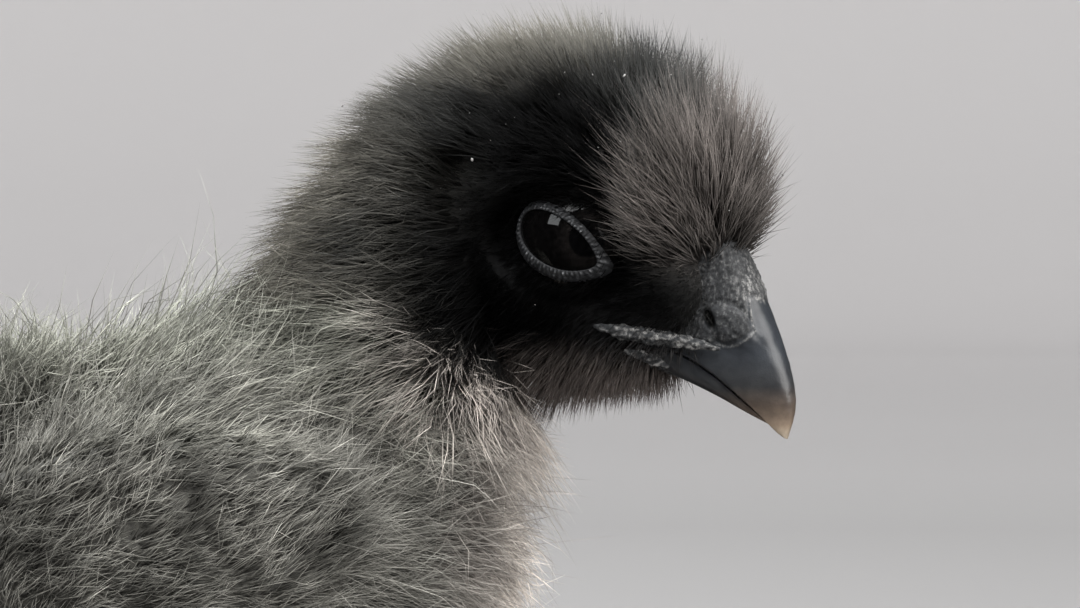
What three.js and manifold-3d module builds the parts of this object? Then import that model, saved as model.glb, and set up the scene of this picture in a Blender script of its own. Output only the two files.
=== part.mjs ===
// A silkie chick about two weeks old, standing, bill towards +X, +Y to its left, +Z up, sizes in millimetres.
// Each coated part is a smooth core that carries flat tapered locks of down, out to the tips of the coat.
import * as THREE from "three";
import { mergeVertices } from "three/addons/utils/BufferGeometryUtils.js";
import Module from "manifold-3d";

const wasm = await Module();
wasm.setup();

const vec = (x, y, z) => new THREE.Vector3(x, y, z);
const radians = THREE.MathUtils.degToRad;
const mix = THREE.MathUtils.lerp;
const clamp = THREE.MathUtils.clamp;
const smooth = THREE.MathUtils.smoothstep;

// Driving sizes. Each reach runs from the middle of a form out to the tips of its down,
// and each coat is how far the core lies below those tips.
const GAP = 0.32;
const TORSO = { at: vec(-2, 0, 50.5), reach: vec(32.6, 20.6, 23.5), rise: 6, coat: 3.6 };
const NECK = { at: vec(20.3, -0.5, 73.8), reach: vec(13.4, 13.2, 18.4), tilt: 30, coat: 2.6 };
const HEAD = { at: vec(31, -1, 79), yaw: 25, pitch: 26 };
const SKULL = { reach: vec(13.4, 10.2, 11.4), coat: 1 };
const CREST = { at: vec(0.5, 0, 4.5), reach: vec(17.3, 12.4, 12), coat: 3.4, floor: 3.9, slope: 14 };
const WING = { at: vec(-1, 18.6, 57), reach: vec(19, 5.4, 10.5), droop: 14, coat: 1.8, bow: 0.013 };
const THIGH = { at: vec(-2.5, 12.4, 37), reach: vec(9.4, 8.6, 14), tilt: 36, coat: 2.2 };
const TAIL = { at: vec(-28.5, 0, 59.5), reach: vec(13, 11, 9.5), tilt: 14, coat: 3.2 };
const EYE = { at: vec(3.9, 4.9, -0.9), radius: 4.4, slant: 39, long: 3.4, high: 2.5, lid: 0.66 };
const HOCK = vec(-10, 12.2, 25.5);
const FOOT = vec(0, 12.6, 2.9);
const SHANK = { hock: 2.7, middle: 1.9, foot: 2.3 };
const PAD = vec(3.6, 3.2, 2.9);
const CLAW = { length: 3.6, width: 1.5, height: 1.9 };

// Each toe: the way it points, in degrees outward from straight ahead, its length without the claw,
// its radius at each end, how many joints it has, and how high its end is held.
const TOES = {
  inner: { out: -27, length: 10.5, root: 1.7, end: 1.15, joints: 2, lift: 0 },
  middle: { out: 4, length: 14, root: 1.9, end: 1.2, joints: 3, lift: 0 },
  outer: { out: 34, length: 11.5, root: 1.7, end: 1.1, joints: 3, lift: 0 },
  hind: { out: 186, length: 7, root: 1.6, end: 1.1, joints: 1, lift: 0 },
  fifth: { out: 216, length: 8, root: 1.45, end: 1, joints: 1, lift: 4.2 },
};

// Profiles of the bill in the head's own frame, as forward and up, from the base to the tip.
const CULMEN = [[11.6, 1.4], [14.3, -1.3], [16.6, -5.9], [18.2, -10], [18.75, -12.9], [18.2, -15.4]];
const TOMIUM = [[8.4, -8.5], [11, -9.1], [13.5, -10.7], [15.9, -13], [17.85, -15.15]];
const GONYS = [[7.4, -10.7], [10.4, -11.2], [13, -12.4], [15.3, -14], [17.2, -15.3]];
const BILL = { width: 4.3, tip: 0.4, lower: 0.84, flange: 0.58 };
const CERE = { at: vec(12.6, 2, -5.2), reach: vec(3.2, 2.4, 4.4) };
const FLAP = { at: vec(14.6, 2.5, -7.2), reach: vec(1.8, 1.2, 1.5) };
const NOSTRIL = { at: vec(13.2, 4.3, -6.2), reach: vec(0.5, 1.4, 0.9) };
const GAPE = [vec(5.2, 7.2, -6.9), vec(7.6, 6.3, -7.7), vec(10.4, 4.9, -8.7)];

// Turns a closed three.js geometry into a solid for the joins and cuts.
function solidOf(geometry) {
  const bare = geometry.clone();
  bare.deleteAttribute("normal");
  bare.deleteAttribute("uv");
  const merged = mergeVertices(bare, 1e-4);
  const vertProperties = merged.attributes.position.array;
  const triVerts = new Uint32Array(merged.index.array);
  return new wasm.Manifold(new wasm.Mesh({ numProp: 3, vertProperties, triVerts }));
}

function geometryOf(solid) {
  const { vertProperties, triVerts } = solid.getMesh();
  const geometry = new THREE.BufferGeometry();
  geometry.setAttribute("position", new THREE.BufferAttribute(vertProperties, 3));
  geometry.setIndex(new THREE.BufferAttribute(triVerts, 1));
  geometry.computeVertexNormals();
  return geometry;
}

// Joins closed pieces, then takes each hollow out: a hollow is what its own pieces have in common.
function solid({ pieces, hollows = [] }) {
  const whole = pieces.map(solidOf).reduce((sum, piece) => sum.add(piece));
  const shared = (hollow) => hollow.map(solidOf).reduce((common, piece) => common.intersect(piece));
  return hollows.reduce((left, hollow) => left.subtract(shared(hollow)), whole);
}

// Keeps the largest closed surface of a solid.
function largest(whole) {
  return whole.decompose().reduce((a, b) => (a.volume() > b.volume() ? a : b));
}

// Moves every vertex of a geometry by a function from point to point.
function shaped(geometry, move) {
  const points = geometry.attributes.position;
  for (let i = 0; i < points.count; i++) {
    const moved = move(vec(points.getX(i), points.getY(i), points.getZ(i)));
    points.setXYZ(i, moved.x, moved.y, moved.z);
  }
  return geometry;
}

// Random draws between plus and minus one that are the same at every run.
function seeded(seed) {
  let state = seed;
  return () => {
    state = (state + 0x6d2b79f5) | 0;
    let mixed = Math.imul(state ^ (state >>> 15), 1 | state);
    mixed = (mixed + Math.imul(mixed ^ (mixed >>> 7), 61 | mixed)) ^ mixed;
    return ((mixed ^ (mixed >>> 14)) >>> 0) / 2147483648 - 1;
  };
}

const LEFT = vec(0, 1, 0);
const UP = vec(0, 0, 1);
const turnAbout = (axis, degrees) => new THREE.Quaternion().setFromAxisAngle(axis, radians(degrees));
const mirrored = (p, side) => vec(p.x, p.y * side, p.z);

// A rounded form: an ellipsoid that is turned and then bent. A direction from its middle and
// a depth below the tips of its down give a point of it, and a point gives back a direction.
// The core lies below the tips by the coat, except where out points away, into what carries it.
function roundForm({ at, reach, coat = 0, out, turn = new THREE.Quaternion(), bend = () => vec(0, 0, 0) }) {
  const back = turn.clone().invert();
  const within = (q) => {
    const p = q.clone().sub(at);
    return p.sub(bend(p)).applyQuaternion(back).divide(reach);
  };
  return {
    holds: (q) => within(q).length() < 0.97,
    core: (d) => coat * (out ? smooth(d.dot(out), -0.5, 0.3) : 1),
    surface(d, depth) {
      const p = vec(d.x * (reach.x - depth), d.y * (reach.y - depth), d.z * (reach.z - depth));
      p.applyQuaternion(turn);
      return p.add(bend(p)).add(at);
    },
    direction: (q) => within(q).normalize(),
    normal: (d) => d.clone().divide(reach).applyQuaternion(turn).normalize(),
  };
}

// The smooth closed surface of a form, at a depth below its tips that may differ by direction.
function ball(form, depth, around = 16, rings = 10) {
  const sphere = new THREE.SphereGeometry(1, around, rings).rotateZ(Math.PI / 2);
  return shaped(sphere, (p) => form.surface(p.normalize(), depth(p)));
}

// A cone bent along a path and flattened, its breadth at each step given by outline.
function tapered(path, face, { width, thick, outline }, sides = 4) {
  const steps = outline.length;
  const cone = new THREE.ConeGeometry(1, 1, sides, steps);
  return shaped(cone, (p) => {
    const t = p.y + 0.5;
    const ring = Math.round(t * steps);
    const swell = ring < steps ? outline[ring] / (1 - ring / steps) : 0;
    const along = path(Math.min(t + 0.02, 1)).sub(path(Math.max(t - 0.02, 0)));
    const across = face.clone().cross(along).normalize();
    const over = across.clone().cross(along).normalize();
    return path(t)
      .addScaledVector(across, (p.x * swell * width) / 2)
      .addScaledVector(over, (p.z * swell * thick) / 2);
  });
}

const LOCK_OUTLINE = [0.85, 1];

// One lock of down, rooted in a form's core, flat below and ridged above. It lies along the form
// towards lie, and bends with it across its breadth, out to just below the tips.
function lock(form, { d, lie, length, width, thick, sunk }) {
  const face = form.normal(d);
  const along = lie.clone().addScaledVector(face, -lie.dot(face)).normalize();
  const across = along.clone().cross(face);
  const root = form.core(d) + sunk;
  const foot = form.surface(d, root);
  const steps = LOCK_OUTLINE.length;
  return shaped(new THREE.ConeGeometry(1, 1, 3, steps), (p) => {
    const t = p.y + 0.5;
    const ring = Math.round(t * steps);
    const swell = ring < steps ? (0.55 * LOCK_OUTLINE[ring]) / (1 - ring / steps) : 0;
    const ahead = foot.clone().addScaledVector(along, length * t);
    const beside = form.direction(ahead.addScaledVector(across, p.x * swell * width));
    return form.surface(beside, Math.max(mix(root, 0, Math.pow(t, 0.8)) - p.z * swell * thick, 0.2));
  });
}

// Directions spread evenly over a sphere.
function spread(count) {
  const golden = Math.PI * (3 - Math.sqrt(5));
  return Array.from({ length: count }, (_, i) => {
    const x = 1 - (2 * (i + 0.5)) / count;
    const across = Math.sqrt(1 - x * x);
    return vec(x, across * Math.cos(i * golden), across * Math.sin(i * golden));
  });
}

// The locks of one form, each with its own small difference in place, lie and size.
function coatOf(form, { count, keep, lie, stretch = () => 1, seed, ...size }) {
  const random = seeded(seed);
  const stir = (by) => vec(random() * by, random() * by, random() * by);
  const locks = [];
  for (const even of spread(count)) {
    const d = even.add(stir(0.05)).normalize();
    const p = form.surface(d, 0);
    const vary = 1 + 0.12 * random();
    const way = lie(p).normalize().add(stir(0.22));
    const own = { length: size.length * vary * stretch(p), width: size.width * (2 - vary) };
    if (keep(p)) locks.push(lock(form, { ...size, ...own, d, lie: way }));
  }
  return locks;
}

// A rod with rounded ends along a curve, its radius given from 0 at its start to 1 at its end.
function rod(curve, radius, facing, sides = 8, steps = 6) {
  const capsule = new THREE.CapsuleGeometry(1, 2, 1, sides, steps);
  return shaped(capsule, (p) => {
    const t = clamp((p.y + 1) / 2, 0, 1);
    const r = radius(t);
    const along = curve.getTangent(t);
    const across = facing.clone().cross(along).normalize();
    const over = across.clone().cross(along).normalize();
    return curve
      .getPoint(t)
      .addScaledVector(along, (p.y - clamp(p.y, -1, 1)) * r)
      .addScaledVector(across, p.x * r)
      .addScaledVector(over, p.z * r);
  });
}

// Each part's builder takes how far to grow it on every side, so that its neighbours clear it.
// Those of a coated part clear its whole form, out to the tips of its locks.
const coated = (form, locks) => (grow = 0) => ({
  pieces: grow ? [ball(form, () => -0.35 - grow, 15, 9)] : [ball(form, form.core), ...locks],
});

const neckForm = roundForm({ ...NECK, out: UP, turn: turnAbout(LEFT, NECK.tilt) });
const neck = coated(neckForm, coatOf(neckForm, {
  count: 56,
  keep: (p) => p.z > 64 && p.z + 0.9 * (40 - p.x) > 78,
  lie: (p) => vec(-0.3, 0.25 * Math.sign(p.y), -1),
  length: 11.5,
  width: 8,
  thick: 2,
  sunk: 1.4,
  seed: 23,
}));

const tailForm = roundForm({ ...TAIL, out: vec(-1, 0, 0), turn: turnAbout(LEFT, TAIL.tilt) });
const tail = coated(tailForm, coatOf(tailForm, {
  count: 21,
  keep: (p) => p.x < -25,
  lie: (p) => vec(-1, 0.1 * p.y, 0.05 * (p.z - TAIL.at.z)),
  length: 10,
  width: 7.6,
  thick: 2,
  sunk: 1.4,
  seed: 37,
}));

// The quills of a wing, in two overlapping rows along its rear edge, from the top down.
const QUILLS = [
  { count: 3, root: vec(-5, 20.9, 60), step: vec(-0.8, -0.7, -2.4), length: 13, slope: 2, fan: 5 },
  { count: 4, root: vec(-8, 19.9, 54), step: vec(-0.9, -0.7, -1.8), length: 15.5, slope: 5, fan: 4.5 },
];

function quill(side, row, i, grow) {
  const root = mirrored(row.root.clone().addScaledVector(row.step, i), side);
  const along = vec(-1, -0.24 * side, -Math.tan(radians(row.slope + row.fan * i))).normalize();
  const length = row.length + grow;
  const path = (t) => root.clone().addScaledVector(along, length * t).addScaledVector(UP, -1.2 * t * t);
  const size = { width: 4.4 + 2 * grow, thick: 0.9 + 2 * grow, outline: [0.7, 1, 0.9] };
  return tapered(path, LEFT, size);
}

const wingForms = [1, -1].map((side) =>
  roundForm({
    ...WING,
    at: mirrored(WING.at, side),
    out: vec(0, side, 0),
    turn: turnAbout(LEFT, -WING.droop),
    bend: (p) => vec(0, -side * WING.bow * p.x * p.x, 0),
  }),
);

function wing(side) {
  const form = side > 0 ? wingForms[0] : wingForms[1];
  const covers = coatOf(form, {
    count: 21,
    keep: (p) => p.y * side > 18 - 0.013 * p.x * p.x && p.x > -12,
    lie: () => vec(-1, 0, -0.3),
    length: 10,
    width: 7.6,
    thick: 1.7,
    sunk: 1.1,
    seed: 41,
  });
  const body = coated(form, covers);
  return (grow = 0) => {
    const quills = QUILLS.flatMap((row) =>
      Array.from({ length: row.count }, (_, i) => quill(side, row, i, grow)),
    );
    return { pieces: [...body(grow).pieces, ...quills] };
  };
}

const thighForms = [1, -1].map((side) =>
  roundForm({
    ...THIGH,
    at: mirrored(THIGH.at, side),
    out: vec(0, 0, -1),
    turn: turnAbout(LEFT, THIGH.tilt),
  }),
);

function thigh(side) {
  const form = side > 0 ? thighForms[0] : thighForms[1];
  return coated(form, coatOf(form, {
    count: 16,
    keep: (p) => p.z < 40 && p.y * side > 4,
    lie: () => vec(-0.55, 0, -1),
    length: 9,
    width: 7.4,
    thick: 1.8,
    sunk: 1.2,
    seed: 53,
  }));
}

// The down of the torso parts over the shoulders: forward and down before them, back behind them.
function torsoLie(p) {
  const ahead = clamp((p.x + 2) / 7, -1, 1) * smooth(p.z, 32, 44) - (1 - smooth(p.z, 32, 44));
  return vec(ahead, 0.45 * Math.sign(p.y) * (1 - Math.abs(ahead)), -0.45);
}

const torsoForm = roundForm({
  ...TORSO,
  bend: (p) => vec(0, 0, TORSO.rise * (p.x / TORSO.reach.x) ** 2),
});
const torso = coated(torsoForm, coatOf(torsoForm, {
  count: 78,
  keep: (p) => ![neckForm, tailForm, ...wingForms, ...thighForms].some((form) => form.holds(p)),
  lie: torsoLie,
  stretch: (p) => 0.6 + 0.4 * Math.min(Math.abs(torsoLie(p).x), 1),
  length: 15,
  width: 11,
  thick: 2.6,
  sunk: 1.6,
  seed: 11,
}));

// The head's parts are built in the head's own frame, forward along X, and then placed.
const posed = new THREE.Matrix4().compose(HEAD.at, turnAbout(UP, -HEAD.yaw), vec(1, 1, 1));
const onHead = (build) => (grow = 0) => {
  const { pieces, hollows = [] } = build(grow);
  const place = (geometry) => geometry.applyMatrix4(posed);
  return { pieces: pieces.map(place), hollows: hollows.map((hollow) => hollow.map(place)) };
};

const skullForm = roundForm({ at: vec(0, 0, 0), ...SKULL, turn: turnAbout(LEFT, HEAD.pitch) });
const clearOfEye = (p) => Math.hypot(p.x - EYE.at.x, p.z - EYE.at.z) > 6.4;
const head = coated(skullForm, coatOf(skullForm, {
  count: 50,
  keep: (p) => clearOfEye(p) && p.z < 3 && p.x < 7.5 && p.x > -7 && p.x + 0.5 * p.z < 4.6,
  lie: () => vec(-1, 0, -0.5),
  length: 5.5,
  width: 4.6,
  thick: 1.3,
  sunk: 1,
  seed: 61,
}));

// The crest stands up and back from the forehead and parts to both sides over the crown.
const crestForm = roundForm(CREST);
const brow = vec(Math.sin(radians(CREST.slope)), 0, Math.cos(radians(CREST.slope)));
const crestCoat = coatOf(crestForm, {
  count: 56,
  keep: (p) => p.dot(brow) > CREST.floor + 0.6,
  lie: (p) => vec(-1, 0.09 * p.y, p.x > 8 ? 1.6 : 0.1),
  length: 9.5,
  width: 6.6,
  thick: 1.9,
  sunk: 1.4,
  seed: 73,
});
const crestBody = coated(crestForm, crestCoat);
const crest = (grow = 0) => {
  const below = new THREE.BoxGeometry(60, 60, 30).translate(0, 0, CREST.floor - grow - 15);
  below.applyQuaternion(turnAbout(LEFT, CREST.slope));
  const face = ball(skullForm, () => grow - 0.35, 20, 12);
  return { pieces: crestBody(grow).pieces, hollows: [[below, face]] };
};

// A curve through profile points of the bill, read from 0 at the base to 1 at the tip.
const profile = (points) => new THREE.SplineCurve(points.map(([x, z]) => new THREE.Vector2(x, z)));

// One half of the bill between an edge and a ridge, round over the ridge and flat along the edge.
function mandible(edge, ridge, width, grow) {
  const cylinder = new THREE.CylinderGeometry(1, 1, 1, 10, 7).rotateY(Math.PI / 10);
  return shaped(cylinder, (p) => {
    const t = clamp((p.y + 0.5) * (1 + grow / 12), 0, 1);
    const low = edge.getPoint(t);
    const high = ridge.getPoint(t);
    const out = high.clone().sub(low).normalize();
    low.addScaledVector(out, -grow);
    high.addScaledVector(out, grow);
    low.lerp(high, Math.max(p.x, 0));
    const half = mix(width, BILL.tip, Math.pow(t, 1.25)) + grow;
    return vec(low.x, p.z * half * Math.sign(out.y), low.y);
  });
}

const culmen = profile(CULMEN);
const tomium = profile(TOMIUM);
const gonys = profile(GONYS);
const lowerEdge = profile(TOMIUM.map(([x, z]) => [x - 0.25, z - 0.45]));

// The soft ridge that runs back from the mouth's corner, above or below the mouth line.
function flange(side, rise, grow) {
  const curve = new THREE.CatmullRomCurve3(GAPE.map((p) => mirrored(p, side).add(vec(0, 0, rise))));
  return rod(curve, (t) => mix(BILL.flange, 0.35, t) + grow, UP, 6, 3);
}

const flanges = (rise, grow) => [1, -1].map((side) => flange(side, rise, grow));
const billUpper = (grow = 0) => ({
  pieces: [mandible(tomium, culmen, BILL.width, grow), ...flanges(0.6, grow)],
});
const billLower = (grow = 0) => ({
  pieces: [mandible(lowerEdge, gonys, BILL.width * BILL.lower, grow), ...flanges(-1, grow)],
});

function cere(side) {
  const lobe = roundForm({ at: mirrored(CERE.at, side), reach: CERE.reach });
  const flap = roundForm({ at: mirrored(FLAP.at, side), reach: FLAP.reach });
  const slot = roundForm({ at: mirrored(NOSTRIL.at, side), reach: NOSTRIL.reach });
  return (grow = 0) => ({
    pieces: [ball(lobe, () => -grow, 9, 6), ball(flap, () => -grow, 7, 5)],
    hollows: grow ? [] : [[ball(slot, () => 0, 5, 4)]],
  });
}

const eye = (side) => (grow = 0) => {
  const at = mirrored(EYE.at, side);
  return { pieces: [new THREE.SphereGeometry(EYE.radius + grow, 12, 9).translate(at.x, at.y, at.z)] };
};

// The rim of the lids, a ring round the slanted oval opening that lies on the eyeball.
const lid = (side) => (grow = 0) => {
  const long = vec(Math.cos(radians(EYE.slant)), 0, -Math.sin(radians(EYE.slant)));
  const high = vec(-long.z, 0, long.x);
  const ring = Array.from({ length: 12 }, (_, i) => {
    const turn = (2 * Math.PI * i) / 12;
    const p = long.clone().multiplyScalar(EYE.long * Math.cos(turn));
    p.addScaledVector(high, EYE.high * Math.sin(turn));
    p.y = side * Math.sqrt((EYE.radius + 0.2) ** 2 - p.lengthSq());
    return p.add(mirrored(EYE.at, side));
  });
  const curve = new THREE.CatmullRomCurve3(ring, true);
  return { pieces: [new THREE.TubeGeometry(curve, 12, EYE.lid + grow, 4, true)] };
};

// Soles and claws are cut flat where they rest on the floor.
const underfoot = (grow) => [new THREE.BoxGeometry(90, 90, 10).translate(0, 0, -5 - grow)];

function pad(side, grow) {
  const ellipsoid = new THREE.SphereGeometry(1, 10, 6).scale(PAD.x + grow, PAD.y + grow, PAD.z + grow);
  return ellipsoid.translate(FOOT.x, FOOT.y * side, FOOT.z - 0.35);
}

function toeCurve(side, { out, length, root, end, lift }) {
  const way = vec(Math.cos(radians(out)), Math.sin(radians(out)) * side, 0);
  const points = [0, 0.35, 0.7, 1].map((t) => {
    const p = mirrored(FOOT, side).addScaledVector(way, 2 + (length - 2 - end) * t);
    p.z = mix(root, end, t) - 0.3 + lift * t * t + (lift ? 1.4 * t : 0);
    return p;
  });
  return new THREE.CatmullRomCurve3(points);
}

function toe(side, shape, grow) {
  const { root, end, joints } = shape;
  const swell = (t) => 1 + 0.09 * Math.cos(2 * Math.PI * joints * t);
  const radius = (t) => mix(root, end, t) * swell(t) + grow;
  return rod(toeCurve(side, shape), radius, UP, 5, joints + 1);
}

const foot = (side) => (grow = 0) => ({
  pieces: [pad(side, grow), ...Object.values(TOES).map((shape) => toe(side, shape, grow))],
  hollows: [underfoot(grow)],
});

const claw = (side, shape) => (grow = 0) => {
  const curve = toeCurve(side, shape);
  const along = curve.getTangent(1);
  const high = along.clone().cross(UP).cross(along).normalize();
  const start = curve.getPoint(1).addScaledVector(along, -0.4);
  const length = CLAW.length + shape.end + grow;
  const path = (t) =>
    start
      .clone()
      .addScaledVector(along, length * t)
      .addScaledVector(high, 0.55 * Math.sin(Math.PI * t) - (shape.end - 0.45) * t * t);
  const size = { width: CLAW.width + 2 * grow, thick: CLAW.height + 2 * grow, outline: [1, 0.86, 0.52] };
  return { pieces: [tapered(path, UP, size, 5)], hollows: [underfoot(grow)] };
};

// The shank with the down along its outer side, which hangs over the foot.
function shank(side) {
  const hock = mirrored(HOCK, side);
  const ankle = mirrored(FOOT, side).add(vec(-0.4, 0, 1.6));
  const middle = hock.clone().lerp(ankle, 0.5).add(vec(0.6, 0, 0));
  const curve = new THREE.CatmullRomCurve3([hock, middle, ankle]);
  const radius = (t) =>
    t < 0.5 ? mix(SHANK.hock, SHANK.middle, t * 2) : mix(SHANK.middle, SHANK.foot, t * 2 - 1);
  const plume = (t, i, grow) => {
    const root = curve.getPoint(t);
    const way = vec(i % 2 ? 0.25 : -0.35, side, -0.75).normalize();
    const length = 7 - 0.6 * i + grow;
    const path = (s) => root.clone().addScaledVector(way, length * s).addScaledVector(UP, -1.5 * s * s);
    const size = { width: 5 + 2 * grow, thick: 1.3 + 2 * grow, outline: LOCK_OUTLINE };
    return tapered(path, mirrored(vec(0.2, 1, 0.9), side), size);
  };
  return (grow = 0) => {
    const bone = rod(curve, (t) => radius(t) + grow, LEFT, 7, 4);
    return { pieces: [bone, ...[0.3, 0.55, 0.8].map((t, i) => plume(t, i, grow))] };
  };
}

const paint = (color, roughness) => new THREE.MeshStandardMaterial({ color, roughness });
const DOWN = paint(0x6c6b63, 1);
const DARK_DOWN = paint(0x47474a, 1);
const SKIN = paint(0x33333a, 0.6);
const HORN = paint(0x57524a, 0.45);
const NAIL = paint(0x8b8270, 0.5);
const WET = paint(0x08080a, 0.08);

// Every part in the order in which it keeps its place: each one is cut clear of those before it.
const pair = (name, build, material) => [
  [`${name}_left`, build(1), material],
  [`${name}_right`, build(-1), material],
];
const parts = [
  ...pair("eye", (side) => onHead(eye(side)), WET),
  ...pair("lid", (side) => onHead(lid(side)), SKIN),
  ["bill_upper", onHead(billUpper), HORN],
  ["bill_lower", onHead(billLower), HORN],
  ...pair("cere", (side) => onHead(cere(side)), SKIN),
  ["crest", onHead(crest), DARK_DOWN],
  ["head", onHead(head), DARK_DOWN],
  ...Object.entries(TOES).flatMap(([name, shape]) => pair(`claw_${name}`, (side) => claw(side, shape), NAIL)),
  ...pair("foot", foot, SKIN),
  ...pair("shank", shank, SKIN),
  ["neck", neck, DOWN],
  ...pair("wing", wing, DOWN),
  ...pair("thigh", thigh, DOWN),
  ["tail", tail, DOWN],
  ["torso", torso, DOWN],
];

function meets(a, b) {
  const [p, q] = [a.boundingBox(), b.boundingBox()];
  return [0, 1, 2].every((i) => p.min[i] < q.max[i] && q.min[i] < p.max[i]);
}

const chick = new THREE.Group();
const kept = [];
for (const [name, build, material] of parts) {
  const whole = solid(build());
  const clear = kept.filter((other) => meets(whole, other)).reduce((left, other) => left.subtract(other), whole);
  kept.push(solid(build(GAP)));
  const mesh = new THREE.Mesh(geometryOf(largest(clear)), material);
  mesh.name = name;
  chick.add(mesh);
}

// The finished chick stands on the floor at zero, over the middle of its own outline.
const box = new THREE.Box3().setFromObject(chick);
chick.position.set(-(box.min.x + box.max.x) / 2, -(box.min.y + box.max.y) / 2, -box.min.z);
const silkieChick = new THREE.Group();
silkieChick.name = "silkie_chick";
silkieChick.add(chick);

export default silkieChick;
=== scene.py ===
import math
from collections import namedtuple

import bmesh
import bpy
import numpy as np
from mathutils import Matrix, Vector
from mathutils.kdtree import KDTree


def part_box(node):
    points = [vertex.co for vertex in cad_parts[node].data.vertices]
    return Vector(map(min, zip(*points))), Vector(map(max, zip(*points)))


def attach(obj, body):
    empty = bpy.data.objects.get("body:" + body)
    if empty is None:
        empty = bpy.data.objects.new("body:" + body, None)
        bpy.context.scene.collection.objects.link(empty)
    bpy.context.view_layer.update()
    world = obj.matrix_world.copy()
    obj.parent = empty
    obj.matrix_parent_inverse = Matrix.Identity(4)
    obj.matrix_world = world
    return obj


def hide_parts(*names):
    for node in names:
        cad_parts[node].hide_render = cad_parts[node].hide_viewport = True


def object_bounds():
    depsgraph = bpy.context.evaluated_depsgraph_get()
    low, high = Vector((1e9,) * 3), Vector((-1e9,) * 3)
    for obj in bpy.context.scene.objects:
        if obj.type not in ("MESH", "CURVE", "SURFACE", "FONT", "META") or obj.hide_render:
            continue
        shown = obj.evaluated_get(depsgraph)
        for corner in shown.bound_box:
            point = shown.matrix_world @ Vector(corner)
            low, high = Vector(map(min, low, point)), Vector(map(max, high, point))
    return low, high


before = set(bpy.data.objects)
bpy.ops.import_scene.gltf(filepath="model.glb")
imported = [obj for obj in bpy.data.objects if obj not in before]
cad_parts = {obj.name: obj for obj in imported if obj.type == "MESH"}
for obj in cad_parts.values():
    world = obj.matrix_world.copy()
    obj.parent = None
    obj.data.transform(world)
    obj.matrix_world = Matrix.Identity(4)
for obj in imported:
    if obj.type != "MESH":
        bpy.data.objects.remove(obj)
CAD_BOX = [list(corner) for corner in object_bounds()]
MM = 0.001
FULL_TURN = 2 * math.pi
SIDES = (("left", 1), ("right", -1))
rng = np.random.default_rng(20)


def unit(v):
    v = np.asarray(v, float)
    return v / np.maximum(np.linalg.norm(v, axis=-1, keepdims=True), 1e-9)


def turn(axis, degrees):
    a = math.radians(degrees)
    c, s = math.cos(a), math.sin(a)
    if axis == "y":
        return np.array([[c, 0, s], [0, 1, 0], [-s, 0, c]])
    return np.array([[c, -s, 0], [s, c, 0], [0, 0, 1]])


def fade(x, low, high):
    """0 below low, 1 above high, and smooth between them."""
    t = np.clip((np.asarray(x, float) - low) / (high - low), 0, 1)
    return t * t * (3 - 2 * t)


def hump(x, middle, reach):
    """1 at the middle, falling off on both sides over about the reach."""
    return np.exp(-(((x - middle) / reach) ** 2))


def patch(x, z, at, reach):
    """1 over a rounded box of a face seen from its side, with soft edges."""
    return np.exp(-(((x - at[0]) / reach[0]) ** 4) - ((z - at[1]) / reach[1]) ** 4)


def circle(count):
    return np.linspace(0, FULL_TURN, count, endpoint=False)


# The head's place and the slanted opening between its lids.
HEAD_AT = np.array([31.0, -1.0, 79.0])
HEAD_YAW = 25
HEAD_TURN = turn("z", -HEAD_YAW)
EYE_SOLID_AT = np.array([3.9, 4.9, -0.9])
EYE_AT = EYE_SOLID_AT - [0.4, 0, 0]
EYE_R = 4.4
EYE_LONG, EYE_HIGH, EYE_SLANT = 3.17, 1.74, math.radians(30)
LONG = np.array([math.cos(EYE_SLANT), 0, -math.sin(EYE_SLANT)])
HIGH = np.array([math.sin(EYE_SLANT), 0, math.cos(EYE_SLANT)])

# From the design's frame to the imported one, read off the right eye.
low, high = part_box("eye_right")
SHIFT = np.array((low + high) / 2) / MM - (HEAD_AT + HEAD_TURN @ (EYE_SOLID_AT * [1, -1, 1]))


def to_head(p):
    return (np.asarray(p) - HEAD_AT) @ HEAD_TURN


def from_head(p):
    return np.asarray(p) @ HEAD_TURN.T + HEAD_AT


def eye_gap(h):
    """Roughly how far, across the face, a point lies outside the opening between the lids."""
    q = np.asarray(h) - EYE_AT * [1, 0, 1]
    u, v = q @ LONG, q @ HIGH
    e = np.hypot(u / EYE_LONG, v / EYE_HIGH)
    return (e - 1) * e / np.maximum(np.hypot(u / EYE_LONG**2, v / EYE_HIGH**2), 1e-3)


def eye_level(h):
    """How far out from the midline the eyeball's surface lies at a point of the face."""
    q = np.asarray(h) - EYE_AT * [1, 0, 1]
    flat = q[..., 0] ** 2 + q[..., 2] ** 2
    return EYE_AT[1] + np.sqrt(np.maximum(EYE_R**2 - flat, 0))


# The same forms as the solids, each out to the tips of its down.
class Form:
    """An ellipsoid, turned and bent. Its skin lies the given depth below the tips of its down."""

    def __init__(self, at, reach, rot=np.eye(3), bend=np.zeros_like, skin=3.0):
        self.at, self.reach, self.rot = np.array(at, float), np.array(reach, float), rot
        self.bend, self.skin = bend, skin

    def within(self, q, depth=0.0):
        p = np.asarray(q, float) - self.at
        p = p - self.bend(p)
        return np.linalg.norm((p @ self.rot) / (self.reach - depth), axis=-1)

    def surface(self, d, depth=0.0):
        p = (d * (self.reach - depth)) @ self.rot.T
        return p + self.bend(p) + self.at


def bent(axis, bow):
    """A bend along one axis that grows with the square of the way from the middle along x."""
    def bend(p):
        out = np.zeros_like(p)
        out[..., axis] = bow * p[..., 0] ** 2
        return out

    return bend


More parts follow.
